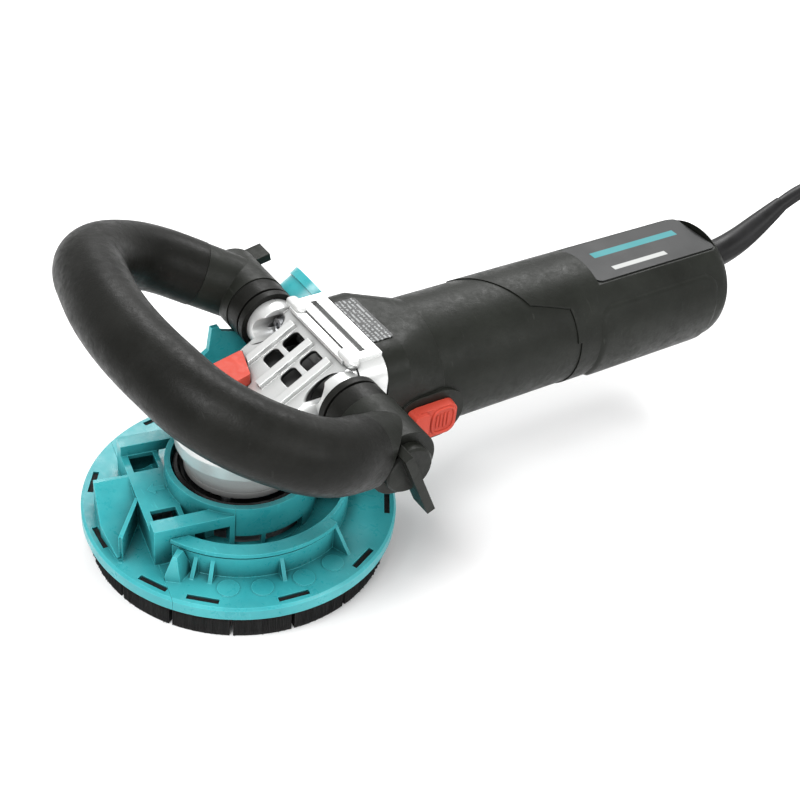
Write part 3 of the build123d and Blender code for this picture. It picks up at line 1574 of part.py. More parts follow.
# Contour plug with two round pins, where the last turn leaves the coil.
PLUG_Y = COIL_CENTRE[1] - COIL_R - (COIL_ROWS - 1) * CORD_R
PLUG_Z = 13.2
SLEEVE_Z = 8.0
PLUG_SLEEVE = 30.0
PLUG_BODY = 36.0
sleeve_start = Vector(COIL_CENTRE[0] - LEAD_TAIL, PLUG_Y, SLEEVE_Z)
body_start = Vector(sleeve_start.X - PLUG_SLEEVE, PLUG_Y, PLUG_Z)

with BuildPart() as plug:
    add(cone_between(sleeve_start, body_start, CORD_R + 0.6, 7.5))
    add(cone_between(body_start, body_start - Vector(2, 0, 0), 7.5, 7.5))
    with BuildSketch(Plane(origin=body_start, x_dir=(0, 1, 0), z_dir=(-1, 0, 0))):
        RectangleRounded(30, 22, 10)
    extrude(amount=PLUG_BODY / 2, taper=-6)
    with BuildSketch(
        Plane(origin=body_start - Vector(PLUG_BODY / 2, 0, 0), x_dir=(0, 1, 0), z_dir=(-1, 0, 0))
    ):
        RectangleRounded(36, 26.4, 12)
    extrude(amount=PLUG_BODY / 2)
plug.part.label = "plug"
export_step(plug.part, "parts/plug.step")

with BuildPart() as plug_pins:
    with BuildSketch(
        Plane(origin=body_start - Vector(PLUG_BODY, 0, 0), x_dir=(0, 1, 0), z_dir=(-1, 0, 0))
    ):
        with Locations((9.5, 0), (-9.5, 0)):
            Circle(2.4)
    extrude(amount=19)
plug_pins.part.label = "plug_pins"
export_step(plug_pins.part, "parts/plug_pins.step")
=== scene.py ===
import json
import random
from math import cos, hypot, pi, radians, sin

import bpy
from mathutils import Matrix, Vector


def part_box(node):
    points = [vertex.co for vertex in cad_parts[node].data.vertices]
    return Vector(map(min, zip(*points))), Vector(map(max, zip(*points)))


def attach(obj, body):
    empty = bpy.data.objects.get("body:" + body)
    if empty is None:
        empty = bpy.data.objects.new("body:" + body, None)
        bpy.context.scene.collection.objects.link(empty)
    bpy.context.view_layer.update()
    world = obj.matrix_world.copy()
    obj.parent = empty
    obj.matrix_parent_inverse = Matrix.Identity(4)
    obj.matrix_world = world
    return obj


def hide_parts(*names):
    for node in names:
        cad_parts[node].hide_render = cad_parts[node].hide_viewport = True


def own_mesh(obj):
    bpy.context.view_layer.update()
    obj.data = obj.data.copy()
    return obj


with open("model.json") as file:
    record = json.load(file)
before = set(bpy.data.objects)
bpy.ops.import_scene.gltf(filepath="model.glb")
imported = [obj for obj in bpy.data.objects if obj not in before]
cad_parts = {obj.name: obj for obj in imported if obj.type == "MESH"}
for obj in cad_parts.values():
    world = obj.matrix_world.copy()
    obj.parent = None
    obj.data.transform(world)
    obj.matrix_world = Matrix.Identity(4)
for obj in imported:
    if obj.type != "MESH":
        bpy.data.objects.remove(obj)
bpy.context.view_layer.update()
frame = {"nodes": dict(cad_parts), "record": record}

# Concrete grinder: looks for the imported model, in its own frame. Blender works in metres; lengths
# below are in millimetres, unless they are multiplied by MM or belong to the camera, floor or lights.

MM = 0.001


def node_box(node):
    """A node's lowest and highest corners at rest, in mm."""
    return [[c / MM for c in corner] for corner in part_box(node)]


# ------------------------------------------------------------------ camera
VIEW_AZIMUTH = radians(-37.8)
VIEW_ELEVATION = radians(37.68)
VIEW_ROLL = radians(7.17)
VIEW_DISTANCE = 0.7111
VIEW_TARGET = Vector((0.09716, 0, 0.05146))
LENS = 58.374
SENSOR_WIDTH = 36
CLIP = (0.01, 20)

back = Vector((
    sin(VIEW_AZIMUTH) * cos(VIEW_ELEVATION),
    -cos(VIEW_AZIMUTH) * cos(VIEW_ELEVATION),
    sin(VIEW_ELEVATION),
))
level = Vector((cos(VIEW_AZIMUTH), sin(VIEW_AZIMUTH), 0))
upward = back.cross(level)
right = cos(VIEW_ROLL) * level + sin(VIEW_ROLL) * upward
up = back.cross(right)
camera_data = bpy.data.cameras.new("camera")
camera_data.lens = LENS
camera_data.sensor_width = SENSOR_WIDTH
camera_data.clip_start, camera_data.clip_end = CLIP
camera = bpy.data.objects.new("camera", camera_data)
bpy.context.scene.collection.objects.link(camera)
turn = Matrix((right, up, back)).transposed().to_4x4()
camera.matrix_world = Matrix.Translation(VIEW_TARGET + VIEW_DISTANCE * back) @ turn
bpy.context.scene.camera = camera

# -------------------------------------------------------------------- lead
CORD_D = 9 * MM
# From the grip's end down to the top layer of the coil.
LEAD_ROUTE = [
    (364, 0, 102.5), (381, 0, 112.8), (403, 1, 117), (427, 3, 111), (449, 4, 93),
    (468, 5, 70), (487, 5.5, 49), (508, 6, 36), (532, 6, 31.5),
]
# The coil fills its solid: rows from its inside out, and layers from the floor up.
coil_low, coil_high = node_box("cord_coil")
COIL_ROWS = 4
COIL_LAYERS = round(coil_high[2] * MM / CORD_D)
COIL_X = (coil_low[0] + coil_high[0]) / 2
COIL_R = (coil_high[0] - coil_low[0]) / 2 - COIL_ROWS * CORD_D / MM / 2
COIL_TURNS = 11.5
# Share of a turn in which the lead steps down a layer.
CLIMB = 0.25
PER_TURN = 16
# Where the tail leaves the coil and where it enters the plug, as x and z.
TAIL = (COIL_X - 10, 5.5)
PLUG_SLEEVE = (510.0, 8.0)


def coil_place(turn_count):
    """(offset from the middle radius in mm, layer) of the lead after some turns from the top."""
    pitch = CORD_D / MM
    half = (COIL_ROWS - 1) * pitch / 2
    left = turn_count + (COIL_ROWS - 1) * COIL_LAYERS + CLIMB * (COIL_LAYERS - 1) - COIL_TURNS
    layer, side = COIL_LAYERS - 1, 1
    while layer > 0:
        if left <= COIL_ROWS - 1:
            return side * (half - pitch * left), layer
        left -= COIL_ROWS - 1
        if left <= CLIMB:
            share = left / CLIMB
            return -side * half, layer - share * share * (3 - 2 * share)
        left -= CLIMB
        layer -= 1
        side = -side
    return side * (half - pitch * left), 0


def lead_points():
    """Control points of the lead, from the grip through the coil to the plug."""
    points = list(LEAD_ROUTE)
    first = coil_place(0)[0]
    centre_y = LEAD_ROUTE[-1][1] - COIL_R - first
    # Quadratic NURBS run inside their control points by this much on a circle.
    stretch = 1 / (1 - 0.25 * (1 - cos(2 * pi / PER_TURN)))
    for step in range(1, int(COIL_TURNS * PER_TURN) + 1):
        offset, layer = coil_place(step / PER_TURN)
        angle = pi / 2 - 2 * pi * step / PER_TURN
        radius = (COIL_R + offset) * stretch
        height = (layer + 0.5) * CORD_D / MM
        points.append((COIL_X + radius * cos(angle), centre_y + radius * sin(angle), height))
    tail_y = centre_y - COIL_R - coil_place(COIL_TURNS)[0]
    points.append((TAIL[0], tail_y, TAIL[1]))
    points.append((PLUG_SLEEVE[0], tail_y, PLUG_SLEEVE[1]))
    return points


def nurbs_piece(name, points, radii, sides=8):
    """A round curve through control points in mm, with a radius at each."""
    curve = bpy.data.curves.new(name, "CURVE")
    curve.dimensions = "3D"
    # The thickness is in the points' radius, which the piece's box goes by.
    curve.bevel_depth = 1
    curve.bevel_resolution = sides
    curve.use_fill_caps = True
    spline = curve.splines.new("NURBS")
    spline.points.add(len(points) - 1)
    for point, place, radius in zip(spline.points, points, radii):
        point.co = (place[0] * MM, place[1] * MM, place[2] * MM, 1)
        point.radius = radius * MM
    spline.order_u = 3
    spline.use_endpoint_u = True
    spline.resolution_u = 6
    piece = bpy.data.objects.new(name, curve)
    bpy.context.scene.collection.objects.link(piece)
    return piece


lead_places = lead_points()
lead = nurbs_piece("mains_lead", lead_places, [CORD_D / MM / 2] * len(lead_places))
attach(lead, "machine")
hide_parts("cord_tube", "cord_coil")

# Rubber boot that carries the lead out of the grip, tapering along its bend.
BOOT_ROUTE = [(302.5, 0, 84.4), (322, 0, 85.2), (343, 0, 90.2), (362, 0, 101), (377, 0, 110.4)]
BOOT_RADII = [9.0, 8.9, 8.3, 6.9, 4.8]
boot = nurbs_piece("lead_boot", BOOT_ROUTE, BOOT_RADII, sides=12)
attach(boot, "machine")
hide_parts("strain_relief")


# ------------------------------------------------------------ added details
def skin(name, bands, body):
    """One mesh of closed skins, each a list of equal rings of points in mm, capped at its ends."""
    points, faces = [], []
    for rings in bands:
        count = len(rings[0])
        first = len(points)
        for ring in rings:
            points.extend((x * MM, y * MM, z * MM) for x, y, z in ring)
        for row in range(len(rings) - 1):
            low = first + row * count
            for k in range(count):
                after = (k + 1) % count
                faces.append((low + k, low + after, low + count + after, low + count + k))
        faces.append(tuple(first + k for k in reversed(range(count))))
        faces.append(tuple(first + (len(rings) - 1) * count + k for k in range(count)))
    return mesh_piece(name, points, faces, body)


def mesh_piece(name, points, faces, body):
    """A smooth-shaded mesh from points in metres, riding on a body."""
    mesh = bpy.data.meshes.new(name)
    mesh.from_pydata(points, [], faces)
    mesh.update()
    for polygon in mesh.polygons:
        polygon.use_smooth = True
    piece = bpy.data.objects.new(name, mesh)
    bpy.context.scene.collection.objects.link(piece)
    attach(piece, body)
    return piece


def ease(value):
    """0 to 1 with flat ends, held outside that range."""
    value = max(0.0, min(1.0, value))
    return value * value * (3 - 2 * value)


# Raised, rounded panels on both sides of the rear grip. PANEL_X runs along the grip and PANEL_ARC
# round it, and the panel sinks below the grip's surface outside its outline.
grip_low, grip_high = node_box("rear_grip")
plate_low, plate_high = node_box("name_plate")
GRIP_R = grip_high[1]
GRIP_AXIS_Z = grip_low[2] + GRIP_R
PANEL_X = (plate_low[0] - 9, plate_high[0] - 6)
PANEL_ARC = (-34.0, 27.0)
PANEL_RISE = 1.3
PANEL_SINK = 0.35
PANEL_BACK = 1.2
PANEL_MARGIN = 1
PANEL_CORNER = 11.0
PANEL_SHOULDER = 3.2
PANEL_STEP = 1.4


def panel_height(x, arc):
    """How far the panel's face stands off the grip: sunk outside its rounded outline, raised inside."""
    half_x = (PANEL_X[1] - PANEL_X[0]) / 2 - PANEL_MARGIN
    half_arc = (PANEL_ARC[1] - PANEL_ARC[0]) / 2 - PANEL_MARGIN
    over_x = abs(x - sum(PANEL_X) / 2) - half_x + PANEL_CORNER
    over_arc = abs(arc - sum(PANEL_ARC) / 2) - half_arc + PANEL_CORNER
    outside = hypot(max(over_x, 0), max(over_arc, 0)) + min(max(over_x, over_arc), 0) - PANEL_CORNER
    return -PANEL_SINK + (PANEL_RISE + PANEL_SINK) * ease(-outside / PANEL_SHOULDER)


def grip_panel(name, side):
    """One panel, lofted along X from rings that follow the grip; side is -1 or 1 along Y."""
    across_count = round((PANEL_X[1] - PANEL_X[0]) / PANEL_STEP)
    arc_count = round((PANEL_ARC[1] - PANEL_ARC[0]) / PANEL_STEP)
    rings = []
    for step in range(across_count + 1):
        x = PANEL_X[0] + (PANEL_X[1] - PANEL_X[0]) * step / across_count
        ring = []
        for k in range(arc_count + 1):
            arc = PANEL_ARC[0] + (PANEL_ARC[1] - PANEL_ARC[0]) * k / arc_count
            ring.append((arc, GRIP_R + panel_height(x, arc)))
        for k in reversed(range(arc_count + 1)):
            ring.append((ring[k][0], GRIP_R - PANEL_BACK))
        placed = [
            (x, side * radius * cos(arc / GRIP_R), GRIP_AXIS_Z + radius * sin(arc / GRIP_R))
            for arc, radius in ring
        ]
        rings.append(placed if side > 0 else placed[::-1])
    return skin(name, [rings], "machine")


panels = [grip_panel("grip_panel_left", -1), grip_panel("grip_panel_right", 1)]

# Rim and finger ribs on the rear half of the slide switch. RIM_POWER squares the rim's outline.
switch_low, switch_high = node_box("slide_switch")
SWITCH_Y = switch_low[1] + 2
SWITCH_Z = (switch_low[2] + switch_high[2]) / 2
RIM_X = switch_high[0] - 9.1
RIM_HALF = (6.9, 7.6)
RIM_POWER = 3.2
RIM_R = 0.85
RIM_AROUND = 56
RIM_SIDES = 10
RIB_COUNT = 4
RIB_PITCH = 2.3
RIB_FIRST_X = RIM_X - 3.8
RIB_HALF = 5.1
RIB_R = 0.75
RIB_STEPS = 10
RIB_SIDES = 10
# The outer ribs are shorter by this share at this distance from the middle.
RIB_SHORTER = (0.1, 3.5)
# A rib's end closes by this power of the way along, down to this share.
RIB_BLUNT = 8
RIB_END = 0.12


def switch_grip():
    """Upright round ribs with blunt ends, half sunk in the switch's face."""
    bands = []
    for rib in range(RIB_COUNT):
        x = RIB_FIRST_X + rib * RIB_PITCH
        reach = RIB_HALF * (1 - RIB_SHORTER[0] * abs(x - RIM_X) / RIB_SHORTER[1])
        rings = []
        for k in range(RIB_STEPS + 1):
            along = -cos(pi * k / RIB_STEPS)
            size = RIB_R * max(RIB_END, (1 - along**RIB_BLUNT)) ** 0.5
            ring = []
            for j in range(RIB_SIDES):
                angle = 2 * pi * j / RIB_SIDES
                ring.append((x + size * cos(angle), SWITCH_Y + size * sin(angle), SWITCH_Z + reach * along))
            rings.append(ring)
        bands.append(rings)
    return skin("switch_ribs", bands, "switch")


def switch_rim():
    """A rounded-oblong hoop, half sunk in the switch's face."""
    points, faces = [], []
    for k in range(RIM_AROUND):
        angle = 2 * pi * k / RIM_AROUND
        c, s = cos(angle), sin(angle)
        reach = (abs(c / RIM_HALF[0]) ** RIM_POWER + abs(s / RIM_HALF[1]) ** RIM_POWER) ** (-1 / RIM_POWER)
        for j in range(RIM_SIDES):
            turn_angle = 2 * pi * j / RIM_SIDES
            out = reach + RIM_R * cos(turn_angle)
            points.append((
                (RIM_X + out * c) * MM, (SWITCH_Y - RIM_R * sin(turn_angle)) * MM, (SWITCH_Z + out * s) * MM,
            ))
    for k in range(RIM_AROUND):
        for j in range(RIM_SIDES):
            a, b = k * RIM_SIDES, (k + 1) % RIM_AROUND * RIM_SIDES
            j_next = (j + 1) % RIM_SIDES
            faces.append((a + j, b + j, b + j_next, a + j_next))
    return mesh_piece("switch_rim", points, faces, "switch")


switch_parts = [switch_grip(), switch_rim()]

# Cast clamp tabs at both ends of the bar across the flange's front edge. TAB_POWER squares their
# section, and the last three numbers say how their ends close.
bracket_low, bracket_high = node_box("bearing_bracket")
TAB_X = bracket_low[0] - 1.6
TAB_Z = bracket_high[2] - 1.4
TAB_HALF = (3.3, 7.2, 2.5)
TAB_Y = (25.4, -25.0)
TAB_POWER = 3.6
TAB_STEPS = 14
TAB_SIDES = 20
TAB_BLUNT = 6
TAB_END = 0.2
TAB_TAPER = 0.4


def flange_tabs():
    """Two rounded blocks, each lofted along Y between narrowing ends."""
    bands = []
    for centre in TAB_Y:
        rings = []
        for k in range(TAB_STEPS + 1):
            along = -cos(pi * k / TAB_STEPS)
            size = max(TAB_END, 1 - abs(along) ** TAB_BLUNT) ** TAB_TAPER
            ring = []
            for j in range(TAB_SIDES):
                c, s = cos(2 * pi * j / TAB_SIDES), sin(2 * pi * j / TAB_SIDES)
                reach = size * (abs(c) ** TAB_POWER + abs(s) ** TAB_POWER) ** (-1 / TAB_POWER)
                ring.append((
                    TAB_X + TAB_HALF[0] * reach * c,
                    centre + TAB_HALF[1] * along,
                    TAB_Z - TAB_HALF[2] * reach * s,
                ))
            rings.append(ring)
        bands.append(rings)
    return skin("flange_tabs", bands, "machine")


tabs = flange_tabs()

# Coil spring under the lock button; the real one shortens as the button goes in.
SPRING_WIRE = 0.55
SPRING_TURNS = 5.5
SPRING_STEPS = 20
SPRING_SIDES = 8


def lock_coil():
    """A round-wire coil with closed ends, inside the box of the spring that it replaces."""
    low, high = node_box("lock_spring")
    centre_x, centre_y = (low[0] + high[0]) / 2, (low[1] + high[1]) / 2
    radius = (high[0] - low[0]) / 2 - SPRING_WIRE
    bottom, top = low[2] + SPRING_WIRE, high[2] - SPRING_WIRE
    count = round(SPRING_TURNS * SPRING_STEPS)
    rings = []
    for step in range(count + 1):
        angle = 2 * pi * step / SPRING_STEPS
        height = bottom + (top - bottom) * ease(step / count)
        ring = []
        for j in range(SPRING_SIDES):
            out = SPRING_WIRE * cos(2 * pi * j / SPRING_SIDES)
            rise = SPRING_WIRE * sin(2 * pi * j / SPRING_SIDES)
            ring.append((
                centre_x + (radius + out) * cos(angle), centre_y + (radius + out) * sin(angle), height - rise,
            ))
        rings.append(ring)
    coil = skin("lock_coil", [rings], "machine")
    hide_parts("lock_spring")
    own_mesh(coil)
    return coil


spring = lock_coil()

# Loose strands round the faces of the bristle blocks. A block comes every BLOCK_PITCH degrees, with
# a gap of BLOCK_GAP degrees, and the blocks beyond SEGMENT_X belong to the sliding segment.
HOOD_TURN = radians(-10)
BLOCK_PITCH = 22.5
BLOCK_GAP = 1.3
FIRST_GAP = -133.5
SEGMENT_X = -54.0
STRAND_TOP = node_box("dust_hood")[0][2] - 0.5
STRAND_R = 0.3
STRAND_SIDES = 4
STRAND_SHARES = (0, 0.4, 0.8, 1)
STRAND_THINNING = 0.45
# Radius of the row, distance between strands and which way they lean.
STRAND_ROWS = ((78.0, 0.78, 1), (72.35, 1.0, -1))
LEAN_OUT = (-0.05, 0.5)
LEAN_ALONG = (-0.45, 0.45)
FOOT = (0.05, 0.9)
GIRTH = (0.8, 1.2)
# Strands keep this many gaps off each end of a block.
END_GAPS = 0.7
SEED = 20261


def strands(name, wanted, body):
    """Bristles on the faces of the hood's blocks, or of the segment's when wanted is true.

    Both calls draw the same numbers for every place, so each strand keeps its shape.
    """
    chance = random.Random(SEED)
    bands = []
    for row_r, pitch, outward in STRAND_ROWS:
        count = round(2 * pi * row_r / pitch)
        for index in range(count):
            local = 360 * index / count
            drift = (local - FIRST_GAP) % BLOCK_PITCH
            lean_out, lean_along = chance.uniform(*LEAN_OUT), chance.uniform(*LEAN_ALONG)
            foot, girth = chance.uniform(*FOOT), chance.uniform(*GIRTH) * STRAND_R
            if drift < BLOCK_GAP * END_GAPS or drift > BLOCK_PITCH - BLOCK_GAP * END_GAPS:
                continue
            if (row_r * cos(radians(local)) < SEGMENT_X) != wanted:
                continue
            angle = radians(local) + HOOD_TURN
            rings = []
            for share in STRAND_SHARES:
                z = STRAND_TOP + (foot - STRAND_TOP) * share
                away = row_r + outward * lean_out * share**2
                slip = lean_along * share**2 / row_r
                thin = girth * (1 - STRAND_THINNING * share)
                cx, cy = away * cos(angle + slip), away * sin(angle + slip)
                # The strand is lofted downwards, so its rings run clockwise.
                ring = []
                for j in reversed(range(STRAND_SIDES)):
                    side_angle = 2 * pi * j / STRAND_SIDES
                    ring.append((cx + thin * cos(side_angle), cy + thin * sin(side_angle), z))
                rings.append(ring)
            bands.append(rings)
    return skin(name, bands, body)


strand_pieces = [strands("hood_strands", False, "machine"), strands("segment_strands", True, "segment")]


# --------------------------------------------------------------- materials
# Sockets of a Mix node that is set to colour.
MIX_SHARE, MIX_FIRST, MIX_SECOND = 0, 6, 7
MIX_COLOUR = 2
# Ambient occlusion in the open and deep in a recess, and the lean of a normal on a face and at an edge.
OPEN_LIGHT, DEEP_LIGHT = 0.95, 0.25
FACE_LEAN, EDGE_LEAN = 0.985, 0.86


class Recipe:
    """A node material on one Principled shader, with small helpers for its nodes."""

    def __init__(self, name, colour, roughness, metallic=0.0):
        self.material = bpy.data.materials.new(name)
        self.material.use_nodes = True
        self.material.diffuse_color = (*colour, 1)
        self.tree = self.material.node_tree
        self.shader = self.tree.nodes["Principled BSDF"]
        self.shader.inputs["Base Color"].default_value = (*colour, 1)
        self.shader.inputs["Roughness"].default_value = roughness
        self.shader.inputs["Metallic"].default_value = metallic
        self.normal = None
        self.place = self.node("ShaderNodeTexCoord").outputs["Object"]

    def node(self, kind, **values):
        made = self.tree.nodes.new(kind)
        for key, value in values.items():
            setattr(made, key, value)
        return made

    def link(self, source, target):
        self.tree.links.new(source, target)

    def mapped(self, scale):
        """The object's coordinates, scaled along each axis."""
        mapping = self.node("ShaderNodeMapping")
        mapping.inputs["Scale"].default_value = scale
        self.link(self.place, mapping.inputs["Vector"])
        return mapping.outputs["Vector"]

    def noise(self, scale, detail=4.0, roughness=0.55, place=None, distortion=0.0):
        made = self.node("ShaderNodeTexNoise")
        made.inputs["Scale"].default_value = scale
        made.inputs["Detail"].default_value = detail
        made.inputs["Roughness"].default_value = roughness
        made.inputs["Distortion"].default_value = distortion
        self.link(place or self.place, made.inputs["Vector"])
        return made.outputs["Fac"]

    def split(self):
        """A node whose outputs are the object's X, Y and Z."""
        made = self.node("ShaderNodeSeparateXYZ")
        self.link(self.place, made.inputs[0])
        return made

    def spread(self, value, low, high, out_low, out_high):
        """Maps low..high to out_low..out_high, held at the ends."""
        made = self.node("ShaderNodeMapRange")
        for key, number in (("From Min", low), ("From Max", high), ("To Min", out_low), ("To Max", out_high)):
            made.inputs[key].default_value = number
        self.link(value, made.inputs["Value"])
        return made.outputs["Result"]

    def mix(self, share, first, second):
        """Two colours mixed by a linked share; a colour is a socket or three numbers."""
        made = self.node("ShaderNodeMix", data_type="RGBA")
        self.link(share, made.inputs[MIX_SHARE])
        for socket, source in ((MIX_FIRST, first), (MIX_SECOND, second)):
            if hasattr(source, "is_linked"):
                self.link(source, made.inputs[socket])
            else:
                made.inputs[socket].default_value = (*source, 1)
        return made.outputs[MIX_COLOUR]

    def math(self, operation, first, second=0.0):
        """A Math node on sockets or numbers."""
        made = self.node("ShaderNodeMath", operation=operation)
        for index, source in enumerate((first, second)):
            if hasattr(source, "is_linked"):
                self.link(source, made.inputs[index])
            else:
                made.inputs[index].default_value = source
        return made.outputs[0]

    def bump(self, height, strength, distance):
        """Adds relief to the shading, over what is there already."""
        made = self.node("ShaderNodeBump")
        made.inputs["Strength"].default_value = strength
        made.inputs["Distance"].default_value = distance
        self.link(height, made.inputs["Height"])
        if self.normal is not None:
            self.link(self.normal, made.inputs["Normal"])
        self.normal = made.outputs["Normal"]
        return self

    def rounded(self, radius):
        """Softens hard edges in the shading by a small radius."""
        made = self.node("ShaderNodeBevel", samples=4)
        made.inputs["Radius"].default_value = radius
        if self.normal is not None:
            self.link(self.normal, made.inputs["Normal"])
        self.normal = made.outputs["Normal"]
        return self

    def recesses(self, reach):
        """1 deep in a recess, 0 in the open."""
        made = self.node("ShaderNodeAmbientOcclusion", samples=6)
        made.inputs["Distance"].default_value = reach
        return self.spread(made.outputs["AO"], OPEN_LIGHT, DEEP_LIGHT, 0, 1)

    def edges(self, radius):
        """1 along hard edges, 0 on faces, from how far a rounded normal leans off the face's own."""
        lean = self.node("ShaderNodeBevel", samples=4)
        lean.inputs["Radius"].default_value = radius
        dot = self.node("ShaderNodeVectorMath", operation="DOT_PRODUCT")
        self.link(lean.outputs["Normal"], dot.inputs[0])
        self.link(self.node("ShaderNodeNewGeometry").outputs["Normal"], dot.inputs[1])
        return self.spread(dot.outputs["Value"], FACE_LEAN, EDGE_LEAN, 0, 1)

    def done(self, colour=None, roughness=None, **extra):
        """Links what varies and sets what doesn't on the shader's own sockets."""
        if colour is not None:
            self.link(colour, self.shader.inputs["Base Color"])
        if roughness is not None:
            self.link(roughness, self.shader.inputs["Roughness"])
        if self.normal is not None:
            self.link(self.normal, self.shader.inputs["Normal"])
        for key, value in extra.items():
            self.shader.inputs[key.replace("_", " ")].default_value = value
        return self.material


def lifted(colour, factor, offset=0.0):
    """A colour scaled and raised, held at white."""
    return tuple(min(1, c * factor + offset) for c in colour)


def moulded(
    name, colour, lighter, roughness, grain=1400.0, grain_depth=0.05, coat=0.0, shine=0.5,
    shade=0.45, wear_and_highlight=0.25,
):
    """Moulded plastic: slow colour drift, dust, rubs, painted shade in recesses, lightened edges, grain,
    smudged gloss.

    The last two arguments set how dark the painted shade in the recesses is and how much the edges are
    lightened, partly as scuffing and partly as painted highlight.
    """
    made = Recipe(name, colour, roughness)
    made.rounded(0.4 * MM)
    drift = made.noise(28, 5, 0.6)
    smudge = made.noise(70, 6, 0.65, distortion=0.6)
    fine = made.noise(grain, 3, 0.6)
    hide = made.noise(grain * 0.42, 4, 0.7, distortion=0.8)
    tint = made.mix(made.spread(drift, 0.3, 0.72, 0, 1), colour, lighter)
    dusty = made.spread(smudge, 0.55, 0.8, 0, 0.16)
    tint = made.mix(dusty, tint, lifted(lighter, 0.8, 0.02))
    scratch = made.noise(1.0, 2, 0.5, made.mapped((420, 60, 90)))
    rubbed = made.math(
        "MULTIPLY", made.spread(scratch, 0.66, 0.72, 0, 0.5), made.spread(smudge, 0.45, 0.6, 0, 1),
    )
    tint = made.mix(rubbed, tint, lifted(lighter, 1.25, 0.012))
    # Painted shade: recesses, found by ambient occlusion, are darkened towards a near-black copy of the
    # colour.
    deep = made.math("MULTIPLY", made.recesses(14 * MM), shade)
    tint = made.mix(deep, tint, lifted(colour, 0.12))
    # Edges lightened, partly as scuffing and partly as painted highlight.
    edge_wear_and_highlight = made.math("MULTIPLY", made.edges(0.7 * MM), wear_and_highlight)
    tint = made.mix(edge_wear_and_highlight, tint, lifted(lighter, 1.7, 0.01))
    made.bump(hide, grain_depth * 7, 0.12 * MM)
    made.bump(fine, grain_depth * 5, 0.05 * MM)
    mottle = made.noise(230, 6, 0.7, distortion=0.6)
    made.bump(mottle, grain_depth * 2.2, 0.4 * MM)
    gloss = made.math(
        "ADD",
        made.spread(smudge, 0.25, 0.75, roughness - 0.09, roughness + 0.12),
        made.spread(mottle, 0.35, 0.65, -0.09, 0.09),
    )
    return made.done(tint, gloss, Coat_Weight=coat, Coat_Roughness=0.25, Specular_IOR_Level=shine)


def metal(name, colour, roughness, brushed=None, pitted=0.0):
    """Bare metal: uneven tone, fine scratches, optional cast pits and turning marks."""
    made = Recipe(name, colour, roughness, 1.0)
    made.rounded(0.25 * MM)
    place = made.mapped(brushed) if brushed else made.place
    lines = made.noise(600 if brushed else 240, 5, 0.7, place)
    cloud = made.noise(38, 6, 0.6)
    tint = made.mix(made.spread(cloud, 0.42, 0.75, 0, 0.25), colour, lifted(colour, 0.62))
    tint = made.mix(made.spread(lines, 0.45, 0.8, 0, 0.25), tint, lifted(colour, 1.15))
    made.bump(lines, 0.12, 0.04 * MM)
    if pitted:
        made.bump(made.noise(520, 4, 0.7), pitted, 0.16 * MM)
    gloss = made.spread(cloud, 0.25, 0.75, roughness - 0.08, roughness + 0.12)
    return made.done(tint, gloss)


ANY_HEIGHT = (-1000, 1000)
SOFT = 0.4 * MM


def stripe(made, place, x_span, y_span, z_span=ANY_HEIGHT):
    """1 inside a plain bar or block, 0 outside, soft at its rim."""
    share = 1.0
    for axis, (low, high) in enumerate((x_span, y_span, z_span)):
        middle, half_span = (low + high) / 2 * MM, (high - low) / 2 * MM
        away = made.math("ABSOLUTE", made.math("SUBTRACT", place.outputs[axis], middle))
        share = made.math("MULTIPLY", made.spread(away, half_span - SOFT, half_span, 1, 0), share)
    return share


# The air chamber under the gear head's sloping front, painted dark as shade, whose inner face is at
# SLOPE_INNER + SLOPE_RISE * x.
housing_high = node_box("gear_housing")[1]
CHAMBER_X = (14, housing_high[0] - 4)
CHAMBER_Y = (-27, 27)
CHAMBER_Z = (88.3, housing_high[2] - 2)
SLOPE_RISE = 0.6
SLOPE_INNER = 84.4
SLOPE_SOFT = 1.2


def painted_cast(name, vent_shade=False):
    """Silver lacquer over a die casting: orange peel, metallic flake, clouding, painted shade in low places.
    """
    made = Recipe(name, (0.80, 0.81, 0.80), 0.34, 0.55)
    made.rounded(0.6 * MM)
    peel = made.noise(420, 3, 0.55)
    flake = made.noise(3200, 2, 0.5)
    cloud = made.noise(45, 6, 0.62, distortion=0.5)
    tint = made.mix(made.spread(flake, 0.4, 0.7, 0, 0.35), (0.76, 0.77, 0.76), (0.92, 0.93, 0.92))
    tint = made.mix(made.spread(cloud, 0.5, 0.8, 0, 0.22), tint, (0.45, 0.45, 0.45))
    # Painted shade: low places, found by ambient occlusion, are darkened towards near-black.
    tint = made.mix(made.math("MULTIPLY", made.recesses(9 * MM), 0.75), tint, (0.10, 0.10, 0.10))
    if vent_shade:
        # Painted shade: the air chamber behind the outlets is painted near-black.
        place = made.split()
        depth = made.math("SUBTRACT", place.outputs[2], made.math("MULTIPLY", place.outputs[0], SLOPE_RISE))
        inside = made.spread(depth, SLOPE_INNER * MM, (SLOPE_INNER + SLOPE_SOFT) * MM, 1, 0)
        inside = made.math("MULTIPLY", inside, stripe(made, place, CHAMBER_X, CHAMBER_Y, CHAMBER_Z))
        tint = made.mix(inside, tint, (0.012, 0.012, 0.012))
    made.bump(peel, 0.22, 0.12 * MM)
    made.bump(flake, 0.08, 0.03 * MM)
    return made.done(tint, made.spread(cloud, 0.3, 0.8, 0.26, 0.46))


